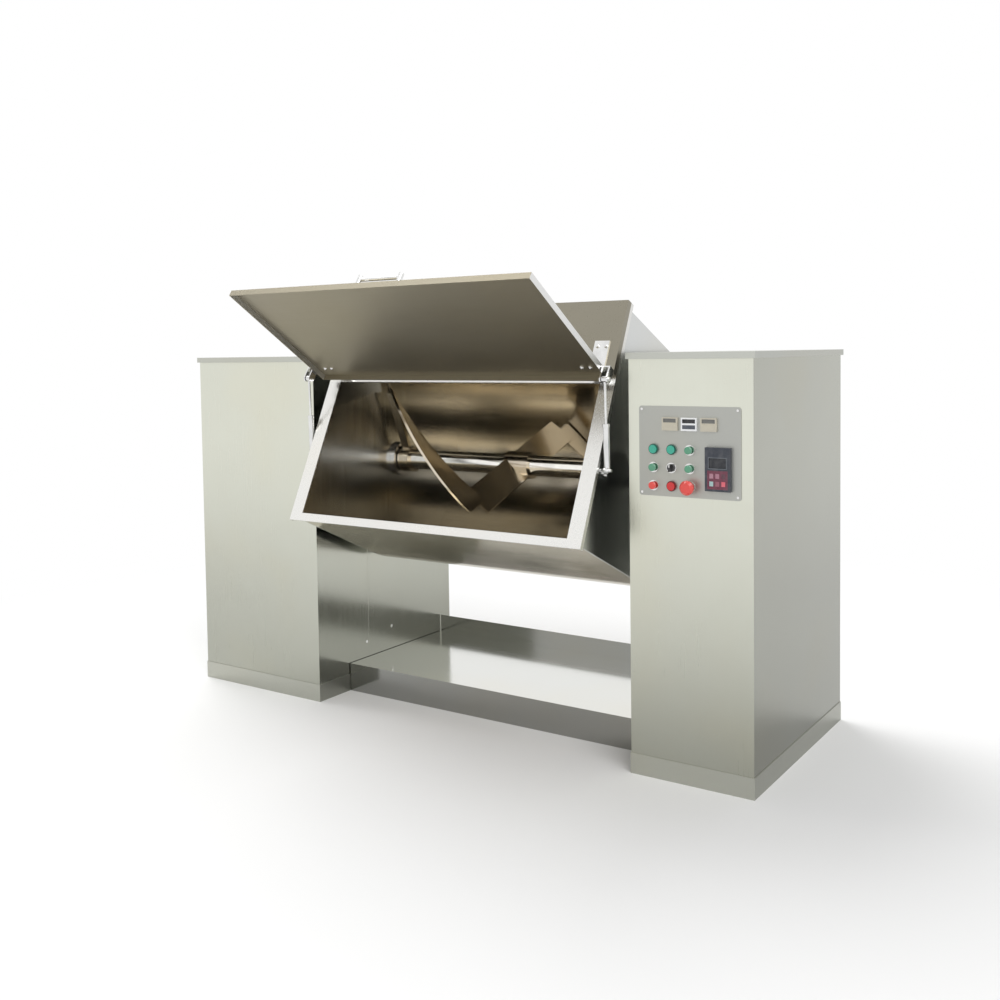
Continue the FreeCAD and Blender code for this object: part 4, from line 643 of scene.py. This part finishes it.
class MIXER_OT_panel(MixerOperator):
    """Instrument plate, its controls, meters and keypad"""

    bl_idname = "mixer.panel"
    bl_label = "Finish control panel"

    def execute(self, context):
        dress(brushed_steel("panel_metal", self.finishes.panel, cloud=0.04, roughness=0.5,
                            grain=(200, 200, 200)), "control_panel")
        dress(polished_steel("bezel_steel", self.finishes.bright), "panel_bezels")
        dress(moulded_plastic("green_plastic", self.finishes.green, 0.25, 0.4),
              "green_button_1", "green_button_2", "green_button_3")
        dress(moulded_plastic("red_plastic", self.finishes.red, 0.25, 0.4), "red_button",
              "stop_mushroom")
        for node, colour in (("green_lamps", self.finishes.green_lens),
                             ("red_lamp", self.finishes.red_lens)):
            dress(lamp_lens(node + "_lens", colour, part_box(node)[0][1]), node)
        self.knob()
        self.meters()
        self.keypad()
        return {"FINISHED"}


    def knob(self):
        """Black selector with a white pointer line on its lever."""
        low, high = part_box("selector_knob")
        x, z = (low[0] + high[0]) / 2, (low[2] + high[2]) / 2
        line = field((0.85, 0.85, 0.83), x, z + 0.002, 0.0014, 0.0075)
        dress(zoned_plastic("black_plastic", (0.02, 0.02, 0.02), [line], 0.3),
              "selector_knob")

    def meters(self):
        """Three meters: cream ones with a grey window, a white one with two dark windows."""
        low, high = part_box("panel_meters")
        middle, half_meter = (low[0] + high[0]) / 2, 0.023
        foot, top, margin = low[2], high[2], 0.001
        fields = [field((0.86, 0.87, 0.88), middle, foot - margin, 0.025,
                        top - foot + 2 * margin),
                  field((0.012, 0.012, 0.014), middle, top - 0.015, 0.019, 0.011),
                  field((0.07, 0.08, 0.10), middle, top - 0.031, 0.019, 0.011)]
        for x in (low[0] + half_meter, high[0] - half_meter):
            fields.append(field((0.15, 0.15, 0.14), x, top - 0.014, 0.019, 0.011))
        dress(zoned_plastic("meter_plastic", (0.56, 0.52, 0.42), fields), "panel_meters")

    def keypad(self):
        """Dark keypad: outlined display above, maroon field with six keys below."""
        low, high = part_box("drive_keypad")
        x, z = (low[0] + high[0]) / 2, (low[2] + high[2]) / 2
        fields = [field((0.14, 0.16, 0.18), x, z + 0.0015, 0.0265, 0.031),
                  field((0.010, 0.012, 0.018), x, z + 0.003, 0.025, 0.028),
                  field((0.17, 0.035, 0.065), x, z - 0.053, 0.029, 0.050)]
        key_rows = (((0.36, 0.52, 0.52), (0.30, 0.10, 0.14), (0.72, 0.13, 0.17)),
                    ((0.42, 0.20, 0.26), (0.40, 0.18, 0.24), (0.10, 0.03, 0.05)))
        column_pitch, row_pitch, first_row = 0.017, 0.021, -0.045
        half_key, key_height = 0.0055, 0.013
        for row, tints in enumerate(key_rows):
            for column, tint in enumerate(tints, -1):
                fields.append(field(tint, x + column * column_pitch,
                                    z + first_row + row * row_pitch, half_key, key_height))
        dress(zoned_plastic("keypad_plastic", (0.03, 0.036, 0.05), fields, 0.35),
              "drive_keypad")


class MIXER_OT_stage(MixerOperator):
    """Pale floor, soft lamps, world and camera"""

    bl_idname = "mixer.stage"
    bl_label = "Set the stage"

    def execute(self, context):
        stage = context.scene.mixer_stage
        self.floor(stage)
        self.world(stage)
        self.lamp("key_lamp", stage.key, stage.spread, (-0.94, 0.33, 1.43))
        self.lamp("fill_lamp", stage.fill, stage.spread, (0.75, -0.66, 1.0))
        self.camera(context, stage)
        return {"FINISHED"}

    def floor(self, stage):
        """Pale floor that keeps the shadow near the mixer and turns plain white far off."""
        half = stage.floor_half
        corners = [(-half, -half, 0), (half, -half, 0), (half, half, 0), (-half, half, 0)]
        mesh = bpy.data.meshes.new("floor")
        mesh.from_pydata(corners, [], [(0, 1, 2, 3)])
        floor = bpy.data.objects.new("floor", mesh)
        bpy.context.scene.collection.objects.link(floor)
        finish = Finish("floor_paint")
        base = finish.mix(finish.noise(2.0, 2.0), rgba(stage.floor), rgba(stage.floor, 0.99))
        paint = finish.principled(Base_Color=base, Roughness=0.8)
        paper = finish.node("ShaderNodeEmission", None, {"Strength": 1.0})
        away = finish.node("ShaderNodeVectorMath", {"operation": "LENGTH"},
                           {0: finish.place()}, output="Value")
        far = away.fade(stage.paper_start, stage.paper_end) * finish.seen()
        mesh.materials.append(finish.finished(finish.node(
            "ShaderNodeMixShader", None, {0: far, 1: paint, 2: paper})))

    def world(self, stage):
        """White behind everything and in reflections, and softer as a light."""
        world = bpy.data.worlds.new("studio")
        bpy.context.scene.world = world
        world.use_nodes = True
        sky = Nodes(world.node_tree)
        light = sky.node("ShaderNodeBackground", None, {"Color": WHITE, "Strength": stage.sky})
        back = sky.node("ShaderNodeBackground", None, {"Color": WHITE, "Strength": 1.0})
        both = sky.node("ShaderNodeMixShader", None, {0: sky.seen(), 1: light, 2: back})
        sky.node("ShaderNodeOutputWorld", None, {"Surface": both})

    def lamp(self, name, strength, spread, source):
        """A wide soft lamp far off in the direction of source."""
        data = bpy.data.lights.new(name, "SUN")
        data.energy = strength
        data.angle = spread
        lamp = bpy.data.objects.new(name, data)
        lamp.rotation_euler = (-Vector(source)).to_track_quat("-Z", "Y").to_euler()
        bpy.context.scene.collection.objects.link(lamp)

    def camera(self, context, stage):
        """Camera from its place, turn, tilt and roll."""
        data = bpy.data.cameras.new("camera")
        data.lens = stage.lens
        data.shift_y = stage.rise
        camera = bpy.data.objects.new("camera", data)
        level = math.cos(stage.pitch)
        ahead = Vector((-math.sin(stage.yaw) * level, math.cos(stage.yaw) * level,
                        math.sin(stage.pitch)))
        right = Vector((math.cos(stage.yaw), math.sin(stage.yaw), 0.0))
        up = right.cross(ahead)
        c, s = math.cos(stage.roll), math.sin(stage.roll)
        right, up = right * c + up * s, up * c - right * s
        turn = Matrix((right, up, -ahead)).transposed().to_4x4()
        camera.matrix_world = Matrix.Translation(stage.eye) @ turn
        context.scene.collection.objects.link(camera)
        context.scene.camera = camera
        context.scene.view_settings.view_transform = "Standard"


OPERATORS = (MIXER_OT_cabinets, MIXER_OT_skid, MIXER_OT_trough, MIXER_OT_lid,
             MIXER_OT_agitator, MIXER_OT_drives, MIXER_OT_panel, MIXER_OT_stage)


class MIXER_PT_sidebar(bpy.types.Panel):
    """Buttons for each group of pieces, and the settings behind them."""

    bl_idname = "MIXER_PT_sidebar"
    bl_label = "Trough mixer"
    bl_space_type = "VIEW_3D"
    bl_region_type = "UI"
    bl_category = "Mixer"

    def draw(self, context):
        layout = self.layout
        for operator in OPERATORS:
            layout.operator(operator.bl_idname)
        scene = context.scene
        for group in (scene.mixer_finishes, scene.mixer_trim, scene.mixer_stage):
            box = layout.box()
            for name in group.__annotations__:
                box.prop(group, name)


CLASSES = (MixerTrim, MixerFinishes, MixerStage) + OPERATORS + (MIXER_PT_sidebar,)


def register():
    for item in CLASSES:
        bpy.utils.register_class(item)
    bpy.types.Scene.mixer_trim = bpy.props.PointerProperty(type=MixerTrim)
    bpy.types.Scene.mixer_finishes = bpy.props.PointerProperty(type=MixerFinishes)
    bpy.types.Scene.mixer_stage = bpy.props.PointerProperty(type=MixerStage)


def unregister():
    del bpy.types.Scene.mixer_stage
    del bpy.types.Scene.mixer_finishes
    del bpy.types.Scene.mixer_trim
    for item in reversed(CLASSES):
        bpy.utils.unregister_class(item)


def main():
    register()
    for operator in OPERATORS:
        group, name = operator.bl_idname.split(".")
        getattr(getattr(bpy.ops, group), name)()


if __name__ == "__main__":
    main()
